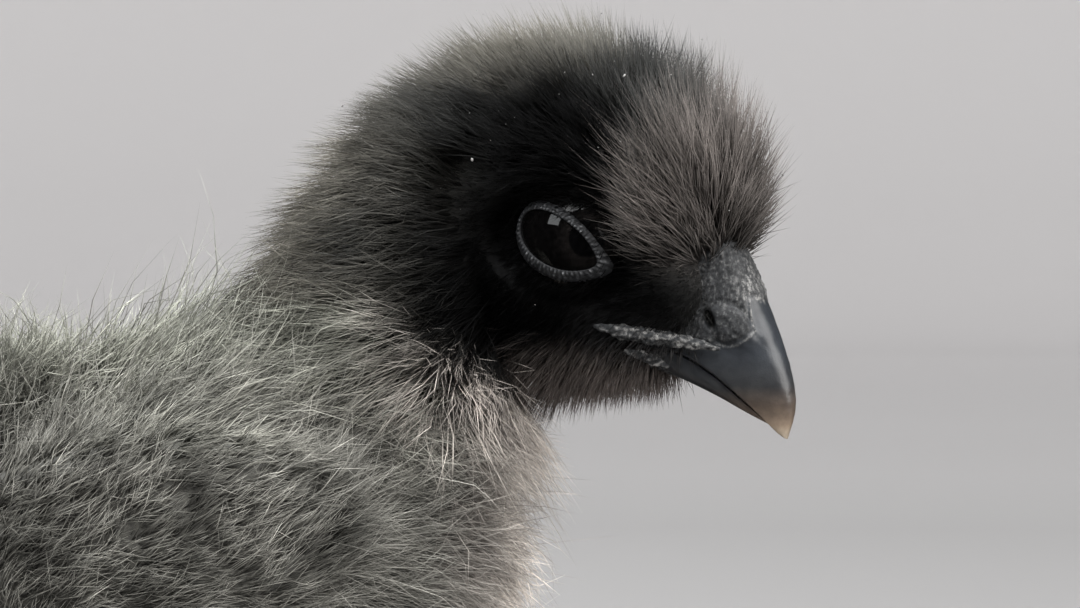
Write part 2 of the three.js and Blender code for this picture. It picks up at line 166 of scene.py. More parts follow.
TORSO_REACH = (32.6, 20.6, 23.5)
TORSO_RISE = 6
FORMS = {
    "torso": Form((-2, 0, 50.5), TORSO_REACH, bend=bent(2, TORSO_RISE / TORSO_REACH[0] ** 2), skin=6.5),
    "neck": Form((20.3, -0.5, 73.8), (13.4, 13.2, 18.4), turn("y", 30), skin=5.0),
    "tail": Form((-28.5, 0, 59.5), (13, 11, 9.5), turn("y", 14), skin=5.0),
    "skull": Form(HEAD_AT, (13.4, 10.2, 11.4), HEAD_TURN @ turn("y", 26), skin=1.1),
    "crest": Form(from_head((0.5, 0, 4.5)), (17.3, 12.4, 12), HEAD_TURN, skin=6.0),
}
for name, s in SIDES:
    wing_bend = bent(1, -0.013 * s)
    FORMS["wing_" + name] = Form((-1, 18.6 * s, 56.2), (19, 5.4, 10.2), turn("y", -10), wing_bend, 2.6)
    FORMS["thigh_" + name] = Form((-2.5, 12.4 * s, 37), (9.4, 8.6, 14), turn("y", 36), skin=3.4)
SKINNED = {name: form for name, form in FORMS.items() if name != "crest"}
# Loose down that fills out the back of the head and the shoulders.
FLUFF = [Form((22, -1.5, 80), (11.7, 10.6, 12.0))]
FLUFF += [Form((7, 12.5 * s, 61), (13, 8.2, 8.0)) for _, s in SIDES]


def link(name, mesh, smooth=True):
    if smooth:
        mesh.polygons.foreach_set("use_smooth", [True] * len(mesh.polygons))
    obj = bpy.data.objects.new(name, mesh)
    bpy.context.collection.objects.link(obj)
    return obj


def object_from(name, verts, faces):
    mesh = bpy.data.meshes.new(name)
    mesh.from_pydata(((np.asarray(verts) + SHIFT) * MM).tolist(), [], faces)
    mesh.update()
    return link(name, mesh)


def read(items, key, width):
    """One property of all vertices, edges or loops, as rows."""
    values = np.empty(len(items) * width, int if key == "vertices" else float)
    items.foreach_get(key, values)
    return values.reshape(-1, width)


def verts_of(obj):
    return read(obj.data.vertices, "co", 3) / MM - SHIFT


def set_verts(obj, p):
    obj.data.vertices.foreach_set("co", ((p + SHIFT) * MM).ravel())
    obj.data.update()


def tube(rings):
    """A closed surface through rings of points, each end shut by a fan to its middle."""
    rings = np.asarray(rings)
    n, m, _ = rings.shape
    verts = np.vstack([rings.reshape(-1, 3), rings[0].mean(0), rings[-1].mean(0)])
    faces = []
    for i in range(n - 1):
        for j in range(m):
            k = (j + 1) % m
            faces.append((i * m + j, i * m + k, (i + 1) * m + k, (i + 1) * m + j))
    for j in range(m):
        k = (j + 1) % m
        faces.append((k, j, n * m))
        faces.append(((n - 1) * m + j, (n - 1) * m + k, n * m + 1))
    return verts, faces


def ball(form, depth=0, rows=30, cols=48):
    polar = np.linspace(0, math.pi, rows + 2)[1:-1]
    a, b = np.meshgrid(polar, circle(cols), indexing="ij")
    d = np.stack([np.sin(a) * np.cos(b), np.sin(a) * np.sin(b), -np.cos(a)], -1)
    return tube(form.surface(d, depth))


def rings_along(path, side, up, angles, radius, wide=1.0, high=1.0):
    """Rings of points round a path, its radius times wide across and times high upward."""
    radius = np.reshape(radius, (len(path), -1, 1))
    across = wide * np.cos(angles)[None, :, None] * side[:, None]
    return path[:, None] + radius * (across + high * np.sin(angles)[None, :, None] * up[:, None])


def join_parts(parts):
    verts, faces, base = [], [], 0
    for v, f in parts:
        verts.append(v)
        faces += [tuple(i + base for i in face) for face in f]
        base += len(v)
    return np.vstack(verts), faces


def spline(points, t):
    """A Catmull-Rom line through points, at t from 0 to 1."""
    pts = np.asarray(points, float)
    n = len(pts) - 1
    t = np.clip(np.asarray(t, float), 0, 1) * n
    i = np.minimum(t.astype(int), n - 1)
    f = (t - i)[..., None]
    a, b, c, d = (pts[np.clip(i + k, 0, n)] for k in (-1, 0, 1, 2))
    return 0.5 * (2 * b + (c - a) * f + (2 * a - 5 * b + 4 * c - d) * f**2 + (3 * b - a - 3 * c + d) * f**3)


def remesh(obj, voxel, smoothing):
    """Joins what overlaps into one closed surface, and smooths it."""
    mod = obj.modifiers.new("Remesh", "REMESH")
    mod.mode = "VOXEL"
    mod.voxel_size = voxel * MM
    mod = obj.modifiers.new("Smooth", "SMOOTH")
    mod.factor = 0.5
    mod.iterations = smoothing
    mesh = bpy.data.meshes.new_from_object(obj.evaluated_get(bpy.context.evaluated_depsgraph_get()))
    obj.modifiers.clear()
    obj.data = mesh
    mesh.polygons.foreach_set("use_smooth", [True] * len(mesh.polygons))


def paint(obj, name, values):
    """Stores a colour, or one number as a grey, for every vertex."""
    values = np.asarray(values, np.float32)
    if values.ndim == 1:
        values = np.repeat(values[:, None], 3, axis=1)
    values = np.hstack([values, np.ones((len(values), 1), np.float32)])
    obj.data.color_attributes.new(name, "FLOAT_COLOR", "POINT").data.foreach_set("color", values.ravel())


# Colours of the down, in linear light, the same on the skin and in the coat.
BLACK = np.array([0.0030, 0.0030, 0.0032])
# Painted light: the chin's down is a lighter brown grey, as if lit from below.
LIT_CHIN = np.array([0.135, 0.116, 0.106])
GAPE_GREY = np.array([0.026, 0.026, 0.027])
CHARCOAL = np.array([0.044, 0.045, 0.043])
NAPE = np.array([0.150, 0.142, 0.122])
BROWN = np.array([0.108, 0.096, 0.089])
# Painted highlight: a lighter greenish grey for the top of the body, where the light from above falls.
GREEN_GREY_HIGHLIGHT = np.array([0.285, 0.292, 0.248])
GREY = np.array([0.162, 0.159, 0.143])
# The breast's own warm grey, made much lighter as painted light on the front, where the light from the right
# falls.
WARM_LIT_BREAST = np.array([0.625, 0.570, 0.526])


def mix(a, b, t):
    t = np.asarray(t)[..., None]
    return a * (1 - t) + b * t


def head_share(p):
    """1 on the dark head and neck, 0 on the grey body, over the line where the shoulder's down begins."""
    line = 73.5 - 4.5 * fade(p[..., 0], 18, 27) - 5 * fade(p[..., 0], 28, 31)
    return fade(p[..., 2] - line, -1.2, 1.2)


def down_colour(p):
    h = to_head(p)
    x, side, z = h[..., 0], np.abs(h[..., 1]), h[..., 2]
    face = patch(x, z, (4.0, -4.2), (9.5, 8.2)) * fade(side, 0.5, 4)
    brow = patch(x, z, (4.0, 5.0), (6.6, 5.4)) * fade(side, 2.0, 5.0)
    tuft = patch(x, z, (12.2, 0.4), (3.1, 3.7))
    forehead = patch(x, z, (7.0, 8.0), (3.0, 3.2))
    gape = hump(z + 0.2 * x, -5.98, 1.15) * fade(x, 3.5, 6.5)
    ear = hump(x, -8.6, 2.0) * hump(z, -0.8, 3.2) * fade(side, 4, 7)
    dark = np.maximum(np.maximum(face * 1.3, brow * 0.97), forehead * 0.5)
    dark = np.clip(dark * (1 - 0.95 * np.minimum(tuft * 1.5, 1)), 0, 1) * (1 - 0.4 * fade(-x, 7, 12))
    top = mix(CHARCOAL, BROWN, tuft) * (1 - 0.3 * fade(x, 12.5, 15))[..., None]
    top = mix(top, NAPE, fade(-x, 1, 11.5) * (1 - 0.15 * fade(z, 2, 9)))
    top = mix(top, BLACK, dark)
    # Painted light: the underside of the chin is lighter, as if lit from below.
    top = mix(top, LIT_CHIN, fade(-z, 7.0, 10.2) * fade(x, -3, 3))
    top = mix(top, GAPE_GREY, gape * 0.8)
    top = mix(top, CHARCOAL * 0.65, ear)
    # Painted highlight: the top of the head is paler, where the tips catch the light from above.
    top = mix(top, NAPE * 0.75, fade(z, 7.5, 10.5) * (1 - 0.5 * tuft))
    # The warm grey of the breast, with painted light on the front of the body.
    body = mix(GREY, WARM_LIT_BREAST, fade(p[..., 0], 16, 27))
    # Painted highlight: the top of the back and shoulders is lighter and greenish, as if lit from above.
    body = mix(body, GREEN_GREY_HIGHLIGHT, fade(p[..., 2], 61, 70) * (1 - fade(p[..., 0], 12, 24)))
    # Painted shade: the body's down is darker toward its underside.
    body = body * (0.8 + 0.2 * fade(p[..., 2], 26, 46))[..., None]
    return mix(body, top, head_share(p))


# Materials.
class Shader:
    """A material in the making, with one short call for each kind of node that the looks use."""

    def __init__(self, name, rough, **sockets):
        self.mat = bpy.data.materials.new(name)
        self.mat.use_nodes = True
        self.nodes, self.links = self.mat.node_tree.nodes, self.mat.node_tree.links
        self.bsdf = self.nodes["Principled BSDF"]
        self.bsdf.inputs["Roughness"].default_value = rough
        for key, value in sockets.items():
            self.bsdf.inputs[key.replace("_", " ")].default_value = value

    def made(self, kind, **inputs):
        """A new node, each input set to a number or linked to another node's output."""
        node = self.nodes.new("ShaderNode" + kind)
        for key, value in inputs.items():
            socket = node.inputs[key.replace("_", " ")]
            if hasattr(value, "is_linked"):
                self.links.new(value, socket)
            else:
                socket.default_value = value
        return node

    def place(self):
        return self.made("TexCoord").outputs["Object"]

    def attribute(self, name, output="Fac"):
        node = self.made("Attribute")
        node.attribute_name = name
        return node.outputs[output]

    def noise(self, scale, detail=3.0, rough=0.55):
        node = self.made("TexNoise", Scale=scale, Detail=detail, Roughness=rough, Vector=self.place())
        return node.outputs["Fac"]

    def ramp(self, fac, *stops):
        """A colour along fac. A stop is a place and a colour, or a place and a grey."""
        node = self.made("ValToRGB", Fac=fac)
        elements = node.color_ramp.elements
        while len(elements) < len(stops):
            elements.new(0.5)
        for element, (at, colour) in zip(elements, stops):
            element.position = at
            element.color = (*(colour if isinstance(colour, tuple) else (colour,) * 3), 1)
        return node.outputs["Color"]

    def blend(self, kind, share, a, b):
        node = self.nodes.new("ShaderNodeMix")
        node.data_type = "RGBA"
        node.blend_type = kind
        for socket, value in ((node.inputs[0], share), (node.inputs[6], a), (node.inputs[7], b)):
            if hasattr(value, "is_linked"):
                self.links.new(value, socket)
            else:
                socket.default_value = (*value, 1) if isinstance(value, tuple) else value
        return node.outputs[2]

    def toned(self, colour, fac, low, high, share=1.0):
        return self.blend("MULTIPLY", share, colour, self.ramp(fac, low, high))

    def bump(self, height, strength, distance):
        node = self.made("Bump", Strength=strength, Distance=distance, Height=height)
        self.links.new(node.outputs["Normal"], self.bsdf.inputs["Normal"])

    def finished(self, colour):
        self.links.new(colour, self.bsdf.inputs["Base Color"])
        return self.mat


def down_material(name, rough, gloss, patchy):
    """Down: the strand's own colour, in soft lighter and darker patches as where the fluff parts."""
    shader = Shader(name, rough, Specular_IOR_Level=gloss)
    colour = shader.attribute("down", "Color")
    patches = ((100, 0.60, 1.38, patchy), (280, 0.64, 1.38, patchy), (1500, 0.85, 1.15, 1.0))
    for scale, low, high, share in patches:
        colour = shader.toned(colour, shader.noise(scale), (0.32, low), (0.68, high), share)
    return shader.finished(colour)


def hide_material():
    shader = Shader("bare_skin", 0.62, Specular_IOR_Level=0.3)
    grain = shader.noise(1500, 5)
    shader.bump(grain, 0.5, 0.0003)
    tint = shader.attribute("down", "Color")
    return shader.finished(shader.toned(tint, grain, (0.3, (0.55, 0.55, 0.57)), (0.7, (1.1, 1.1, 1.08))))


def horn_material():
    """Slate horn, brown then pale at the tip, and the grey flaking skin of the cere at its root."""
    shader = Shader("bill_horn", 0.36, Coat_Weight=0.1, Coat_Roughness=0.35)
    split = shader.nodes.new("ShaderNodeSeparateColor")
    shader.links.new(shader.attribute("along", "Color"), split.inputs[0])
    toward_tip, flaked, soft = split.outputs
    grain, fine = shader.noise(800, 5, 0.65), shader.noise(3500, 5, 0.7)
    colour = shader.ramp(
        toward_tip, (0.0, (0.024, 0.027, 0.031)), (0.45, (0.030, 0.034, 0.040)),
        (0.66, (0.031, 0.032, 0.034)), (0.80, (0.088, 0.067, 0.053)), (0.91, (0.195, 0.148, 0.110)),
        (1.0, (0.38, 0.32, 0.25)))
    colour = shader.toned(colour, grain, (0.3, (0.75, 0.75, 0.77)), (0.7, (1.3, 1.3, 1.28)))
    hide = shader.ramp(fine, (0.38, (0.007, 0.008, 0.009)), (0.64, (0.037, 0.039, 0.042)))
    colour = shader.blend("MIX", soft, colour, hide)
    dry = shader.blend("MULTIPLY", 1.0, shader.ramp(fine, (0.46, 0.1), (0.60, 1)), flaked)
    colour = shader.blend("MIX", dry, colour, (0.21, 0.207, 0.20))
    # Painted shade: the nostril's pit is near black.
    colour = shader.blend("MIX", shader.attribute("pit_shade"), colour, (0.002, 0.002, 0.002))
    shader.bump(fine, 0.22, 0.00012)
    rough = shader.made("MapRange", To_Min=0.3, To_Max=0.72, Value=soft)
    shader.links.new(rough.outputs["Result"], shader.bsdf.inputs["Roughness"])
    return shader.finished(colour)


def scale_material():
    shader = Shader("scaled_skin", 0.45)
    cells = shader.made("TexVoronoi", Scale=1500, Vector=shader.place())
    cells.feature = "DISTANCE_TO_EDGE"
    edge = cells.outputs["Distance"]
    colour = shader.ramp(edge, (0.0, (0.010, 0.010, 0.011)), (0.14, (0.042, 0.043, 0.047)))
    colour = shader.toned(colour, shader.noise(600, 4), (0.3, 0.7), (0.7, (1.3, 1.27, 1.22)))
    shader.bump(edge, 0.6, 0.0003)
    return shader.finished(shader.blend("MIX", shader.attribute("pale"), colour, (0.13, 0.125, 0.115)))


def claw_material():
    shader = Shader("claw_horn", 0.38, Coat_Weight=0.1)
    grain = shader.noise(1400, 4)
    shader.bump(grain, 0.2, 0.0001)
    base = shader.ramp(
        shader.attribute("along"), (0.0, (0.030, 0.028, 0.026)), (0.5, (0.10, 0.085, 0.065)),
        (1.0, (0.32, 0.27, 0.2)))
    return shader.finished(shader.toned(base, grain, (0.3, 0.75), (0.7, 1.2)))


def lid_material():
    shader = Shader("lid_skin", 0.5)
    base = shader.ramp(
        shader.attribute("pale"), (0.0, (0.005, 0.005, 0.006)), (0.5, (0.040, 0.042, 0.045)),
        (1.0, (0.17, 0.175, 0.182)))
    return shader.finished(shader.toned(base, shader.noise(2500, 4), (0.3, 0.6), (0.7, 1.35)))


def eye_material():
    """A pupil that the dark iris only just shows round."""
    shader = Shader("eye_wet", 0.03, IOR=1.4)
    pupil = (0.0010, 0.0010, 0.0011)
    base = shader.ramp(
        shader.attribute("pupil"), (0.0, pupil), (0.36, pupil), (0.42, (0.0046, 0.0041, 0.0039)),
        (0.52, (0.0034, 0.0031, 0.0030)), (0.72, (0.0016, 0.0015, 0.0015)))
    return shader.finished(shader.toned(base, shader.noise(3000), (0.35, 0.6), (0.65, 1.5)))


def dust_material():
    shader = Shader("dust_pale", 0.8)
    return shader.finished(shader.ramp(shader.noise(5000), (0.3, 0.16), (0.7, (0.42, 0.41, 0.40))))


DOWN = down_material("down_body", 0.8, 0.14, 1.0)
CROWN = down_material("down_crown", 0.7, 0.07, 0.7)
HIDE = hide_material()
HORN = horn_material()
SCALE = scale_material()
CLAW_HORN = claw_material()
LID = lid_material()
EYE = eye_material()
DUST = dust_material()


def piece(obj, mat, slot, *nodes):
    obj.data.materials.clear()
    obj.data.materials.append(mat)
    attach(obj, "root")
    if nodes:
        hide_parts(*nodes)


# The skin: one body under the down, with the shoulders and drumsticks, and what carries the bill.
blanks = [ball(form, form.skin) for form in SKINNED.values()]
for _, s in SIDES:
    blanks.append(ball(Form((1, 14.5 * s, 58), (9, 5.5, 6))))
    blanks.append(ball(Form((-8.2, 12.3 * s, 29.5), (4.4, 3.9, 5.6), turn("y", 28))))
for at, reach in (((8.0, 0, -4.9), (6.1, 6.0, 5.2)), ((9.2, 0, -0.2), (4.9, 5.0, 4.6)),
                  ((4.4, 0, -7.9), (5.3, 4.9, 2.6))):
    blanks.append(ball(Form(from_head(at), reach, HEAD_TURN)))
skin = object_from("skin", *join_parts(blanks))
remesh(skin, 0.55, 6)

# Round the eyes the skin is drawn onto the eyeball.
p = verts_of(skin)
h = to_head(p)
for _, s in SIDES:
    g = h * [1, s, 1]
    gap = eye_gap(g)
    near = (g[:, 1] > 3.5) & (gap < 3.4)
    target = eye_level(g) - 0.12 - 0.55 * (1 - fade(gap, -0.1, 0.35))
    pull = (1 - fade(gap, 0.7, 3.2)) * near
    h[:, 1] = np.where(near, h[:, 1] * (1 - pull) + s * target * pull, h[:, 1])
p = from_head(h)
set_verts(skin, p)
paint(skin, "down", down_colour(p) * 0.55)
bpy.context.view_layer.objects.active = skin
skin.select_set(True)
bpy.ops.object.mode_set(mode="EDIT")
bpy.ops.mesh.select_all(action="SELECT")
bpy.ops.uv.smart_project(angle_limit=math.radians(66), island_margin=0.002)
bpy.ops.object.mode_set(mode="OBJECT")
skin.data.uv_layers[0].name = "OFBake"
piece(skin, HIDE, "skin", "torso", "neck", "head", "crest", "tail", "wing_left", "wing_right",
      "thigh_left", "thigh_right")

# Roots of the tufts, spread over the skin. In a growth, density is tufts in a square millimetre, barbs their
# strands, slant and spread are in degrees, longest and width in millimetres, and bow is a share of length.
REGIONS = ["crown", "face", "neck", "breast", "back", "belly", "wing_left", "wing_right",
           "thigh_left", "thigh_right", "tail"]
REGION = {name: i for i, name in enumerate(REGIONS)}
Growth = namedtuple("Growth", "density barbs slant longest width spread bow")
GROWTH = {
    "crown": Growth(8.0, 5, 37, 10.5, 0.088, 10, 0.09),
    "face": Growth(12.2, 2, 66, 1.9, 0.080, 14, 0.02),
    "neck": Growth(3.6, 5, 52, 9.0, 0.095, 11, 0.09),
    "breast": Growth(2.2, 7, 56, 12.0, 0.095, 17, 0.20),
    "back": Growth(1.5, 7, 58, 12.0, 0.110, 18, 0.18),
    "belly": Growth(1.0, 6, 50, 11.5, 0.140, 18, 0.16),
    "wing": Growth(2.2, 5, 62, 8.5, 0.105, 16, 0.12),
    "thigh": Growth(1.75, 5, 50, 9.5, 0.125, 15, 0.12),
    "tail": Growth(1.9, 6, 54, 10.5, 0.115, 15, 0.14),
}
HOCK_HIGH = 24.6


def growth(region, key):
    table = [getattr(GROWTH[name.split("_")[0]], key) for name in REGIONS]
    return np.array(table, float)[region]


def among(region, *names):
    return np.isin(region, [REGION[name] for name in names])


def region_of(p):
    """Which region of the coat a point of the skin belongs to."""
    names = list(SKINNED)
    best = np.argmin(np.stack([form.within(p, form.skin) for form in SKINNED.values()]), axis=0)
    h = to_head(p)
    out = np.empty(len(p), int)
    for i, name in enumerate(names):
        pick = best == i
        if name == "torso":
            trunk = np.where(p[:, 0] > 2, REGION["breast"], REGION["back"])
            out[pick] = np.where(p[:, 2] < 40, REGION["belly"], trunk)[pick]
        elif name == "skull":
            tilt = math.radians(14)
            up = h[:, 0] * math.sin(tilt) + h[:, 2] * math.cos(tilt)
            behind = h[:, 0] < -4
            crown = (up > 4.2) | (behind & (h[:, 2] > -2)) | ((h[:, 0] > 9) & (h[:, 2] > -2.6))
            below = np.where(behind, REGION["neck"], REGION["face"])
            out[pick] = np.where(crown, REGION["crown"], below)[pick]
        else:
            out[pick] = REGION[name]
    return out


skin.data.calc_loop_triangles()
tri = np.array([t.vertices for t in skin.data.loop_triangles])
tri_loops = np.array([t.loops for t in skin.data.loop_triangles])
uv = read(skin.data.uv_layers["OFBake"].data, "uv", 2)
normals = read(skin.data.vertices, "normal", 3)
edges = read(skin.data.edges, "vertices", 2)
for _ in range(10):
    total = normals.copy()
    np.add.at(total, edges[:, 0], normals[edges[:, 1]])
    np.add.at(total, edges[:, 1], normals[edges[:, 0]])
    normals = unit(total)
corner = p[tri]
area = np.linalg.norm(np.cross(corner[:, 1] - corner[:, 0], corner[:, 2] - corner[:, 0]), axis=1) / 2
centre = corner.mean(1)
tri_region = region_of(centre)
want = growth(tri_region, "density") * area
h = to_head(centre)
side = h * [1, 0, 1] + np.abs(h) * [0, 1, 0]
bare = (eye_gap(side) < 0.62) & (side[:, 1] > 3)
bare |= (h[:, 0] > 13.4) & (h[:, 2] < -4)
bare |= (h[:, 0] > 9.0) & (h[:, 2] < -8.3)
bare |= centre[:, 2] < HOCK_HIGH
want[bare] = 0
order = np.lexsort((centre[:, 1] // 1.5, centre[:, 2] // 1.5, centre[:, 0] // 1.5))
steps = np.cumsum(want[order])
count = int(steps[-1])
pick = order[np.searchsorted(steps, (np.arange(count) + rng.random(count)) * steps[-1] / count)]
u, v = rng.random(count), rng.random(count)
flip = u + v > 1
u[flip], v[flip] = 1 - u[flip], 1 - v[flip]
share = np.stack([1 - u - v, u, v], -1)[..., None]
root = (corner[pick] * share).sum(1)
root_n = unit((normals[tri[pick]] * share).sum(1))
root_uv = (uv[tri_loops[pick]] * share).sum(1)
region = tri_region[pick]


def lie_field(p):
    """Which way the down lies, weighted between the forms that a root is near."""
    x, y, z = p[:, 0], p[:, 1], p[:, 2]
    h = to_head(p)
    parting = -13 + 3.5 * np.sin(0.30 * y + 0.9) + 2.0 * np.sin(0.71 * y - 0.4)
    above = fade(z, 32, 44)
    ahead = np.clip((x - parting) / 10, -1, 1) * above - (1 - above)
    zero = np.zeros_like(x)
    rise = fade(x, -12, 2) * fade(z, 46, 60) * (1 - fade(x, 16, 24))
    low_neck = fade(70 - z, 0, 5)
    wing_front = fade(x, -14, -6)
    lies = {
        "torso": np.stack([ahead, 0.45 * np.sign(y) * (1 - np.abs(ahead)), -0.45 + 0.75 * rise], -1),
        "neck": np.stack([-1 + 1.7 * low_neck, 0.1 * np.sign(y), -0.15 - 0.5 * low_neck], -1),
        "tail": np.stack([zero - 1, 0.1 * y, zero - 0.2], -1),
    }
    front = fade(h[:, 0], 4, 10)
    top = fade(h[:, 2], -2, 5)
    lifted = -0.45 + top * (0.5 + 1.3 * front)
    swept = np.stack([-1 + 0.95 * front * top, 0.16 * h[:, 1] * top * front, lifted], -1)
    fan = unit(h - [13.2, 0, -4.6]) + [-0.15, 0, 0.25]
    share = fade(h[:, 0], 7.5, 9.5) * fade(h[:, 2], -3.4, -1.5) * (1 - fade(h[:, 2], 6, 10))
    swept = unit(swept) * (1 - share[:, None]) + unit(fan) * share[:, None] * 1.6
    lies["skull"] = swept @ HEAD_TURN.T
    for name, _ in SIDES:
        lies["wing_" + name] = np.stack([-1 + 1.7 * wing_front, zero, -0.3 + 0.7 * wing_front], -1)
        lies["thigh_" + name] = np.stack([zero - 0.55, zero, zero - 1], -1)
    total = np.zeros_like(p)
    for name, lie in lies.items():
        near = FORMS[name].within(p, FORMS[name].skin)
        total += unit(lie) * np.exp(-9 * near)[:, None]
    return unit(total)


def reach_out(p, d, longest):
    """How far a root's strand goes before it leaves the tips' forms."""
    shares = np.linspace(0.25, 1, 28)
    out = np.full(len(p), shares[0])
    inside = np.ones(len(p), bool)
    for t in shares:
        q = p + d * (longest * t)[:, None]
        inside &= np.any([form.within(q) < 1 for form in (*FORMS.values(), *FLUFF)], axis=0)
        out[inside] = t
    return out * longest


# Where the down grows in its own way: the beak's root, the tuft over it, the beard, the ruff over the
# shoulders, the throat, the shins, and the parting of the back, where it stands up.
at_head = to_head(root)
on_head = among(region, "crown", "face")
on_thigh = among(region, "thigh_left", "thigh_right")
snout = fade(at_head[:, 0], 9, 12.5) * fade(-at_head[:, 2], 1.5, 3.5) * on_head
tuft_foot = fade(at_head[:, 0], 8.5, 11) * fade(-at_head[:, 2], -4, 0) * fade(at_head[:, 2], -4, -2.5)
tuft_foot = tuft_foot * among(region, "crown")
beard = fade(-at_head[:, 2], 6.5, 9) * fade(at_head[:, 0], -3, 1) * on_head
ruff = (1 - head_share(root)) * fade(root[:, 2], 58, 68) * fade(root[:, 0], -8, 4)
throat = fade(root[:, 0], 20, 24) * fade(root[:, 2], 58, 64) * fade(73 - root[:, 2], 0, 3)
throat = throat * ~among(region, "crown")
shin = fade(34 - root[:, 2], 0, 6) * on_thigh
whorl = hump(root[:, 0], -12, 8) * fade(root[:, 2], 56, 66)

jitter = rng.normal(size=(count, 3))
lie = lie_field(root)
lie = lie - (lie * root_n).sum(1, keepdims=True) * root_n
WAVES = (((0.41, 0.23, -0.37), 0.4), ((-0.31, 0.44, 0.29), 1.9), ((0.25, -0.35, 0.47), 4.1))
swirl = np.stack([np.sin(root @ wave + phase) for wave, phase in WAVES], -1)
loose = growth(region, "spread")[:, None] / 15
lie = unit(unit(lie) + loose * (0.24 * jitter + 0.26 * swirl) * (1 + 1.7 * whorl[:, None]))
lie = unit(lie - (lie * root_n).sum(1, keepdims=True) * root_n)
slant = growth(region, "slant") - 22 * np.maximum(snout, beard) - 8 * ruff - 24 * throat + 20 * tuft_foot
slant = np.radians(slant + 12 * shin - 24 * whorl + rng.normal(size=count) * 6)
heading = root_n * np.cos(slant)[:, None] + lie * np.sin(slant)[:, None]
beard_gain = 1 + beard * (0.9 - 0.8 * fade(at_head[:, 0], -1, 5))
longest = growth(region, "longest") * beard_gain * (1 - 0.1 * snout)
length = reach_out(root, heading, longest) * rng.uniform(0.88, 1.06, count) + 1.2 * ruff
least = longest * np.where(beard > 0.5, 0.8, 0.6)
length = np.where(among(region, "face"), np.maximum(length, least), length)
length = np.maximum(length, 4.2 * tuft_foot) + 2.0 * throat
on_wing = among(region, "wing_left", "wing_right")
length *= 1 - 0.45 * fade(root[:, 2], 58, 65) * fade(root[:, 0], 0, 9) * on_wing
length = np.maximum(length, 6.2 * shin)
stray = (root[:, 0] > -14) & (root[:, 0] < 6) & (root[:, 2] > 62) & (root[:, 2] < 73)
stray &= rng.random(count) < 0.22
stray |= (root[:, 0] > 20) & ~on_head & (rng.random(count) < 0.10)

# Strands lean together into small locks: how far apart these stand, and how much they draw their strands in.
LOCKS = {
    "crown": (1.5, 0.42), "face": (0.8, 0.2), "neck": (1.7, 0.42), "breast": (2.6, 0.5), "back": (3.0, 0.5),
    "belly": (3.0, 0.5), "wing": (2.4, 0.5), "thigh": (2.2, 0.45), "tail": (2.6, 0.5),
}
tips = root + heading * length[:, None]
lock_tip = tips.copy()
draw = np.zeros(count)
lock_long = rng.uniform(0.80, 1.10, count)
for i, name in enumerate(REGIONS):
    here = np.flatnonzero(region == i)
    apart, draw[here] = LOCKS[name.split("_")[0]]
    locks = int(len(here) / (GROWTH[name.split("_")[0]].density * apart**2))
    heads = rng.choice(here, max(1, locks), replace=False)
    tree = KDTree(len(heads))
    for k in heads:
        tree.insert(root[k], k)
    tree.balance()
    near = [tree.find(q)[1] for q in root[here]]
    lock_tip[here] = tips[near]
    if name != "face":
        length[here] *= lock_long[near]
colour = down_colour(root)
tuft_tone = np.exp(rng.normal(size=count) * 0.16)

BOX_LOW, BOX_HIGH = (np.array(corner) / MM - SHIFT for corner in CAD_BOX)
REACH_LOW = BOX_LOW - [1.5, 1.0, -2.0]
REACH_HIGH = BOX_HIGH + [1.5, 1.0, 1.2]
BAKE_PATCH = 0.003
RINGS, SHOWN_RINGS = 2, 3
MOST_TRIANGLES = 190000


def sideways(d):
    ref = np.where(np.abs(d[:, 2:3]) > 0.9, [[1.0, 0, 0]], [[0, 0, 1.0]])
    a = unit(np.cross(d, ref))
    return a, np.cross(d, a)


def cut_short(start, mid, tip, share):
    return start + (mid - start) * share, start + (tip - start) * share


def kept_in(start, mid, tip):
    """How much of each strand stays within a little more than the solids' box."""
    share = np.ones(len(start))
    for q in (mid, tip):
        step = q - start
        step = np.where(np.abs(step) < 1e-6, 1e-6, step)
        room = np.where(step > 0, REACH_HIGH - start, REACH_LOW - start) / step
        share = np.minimum(share, np.clip(room.min(axis=1), 0.1, 1))
    return share[:, None]


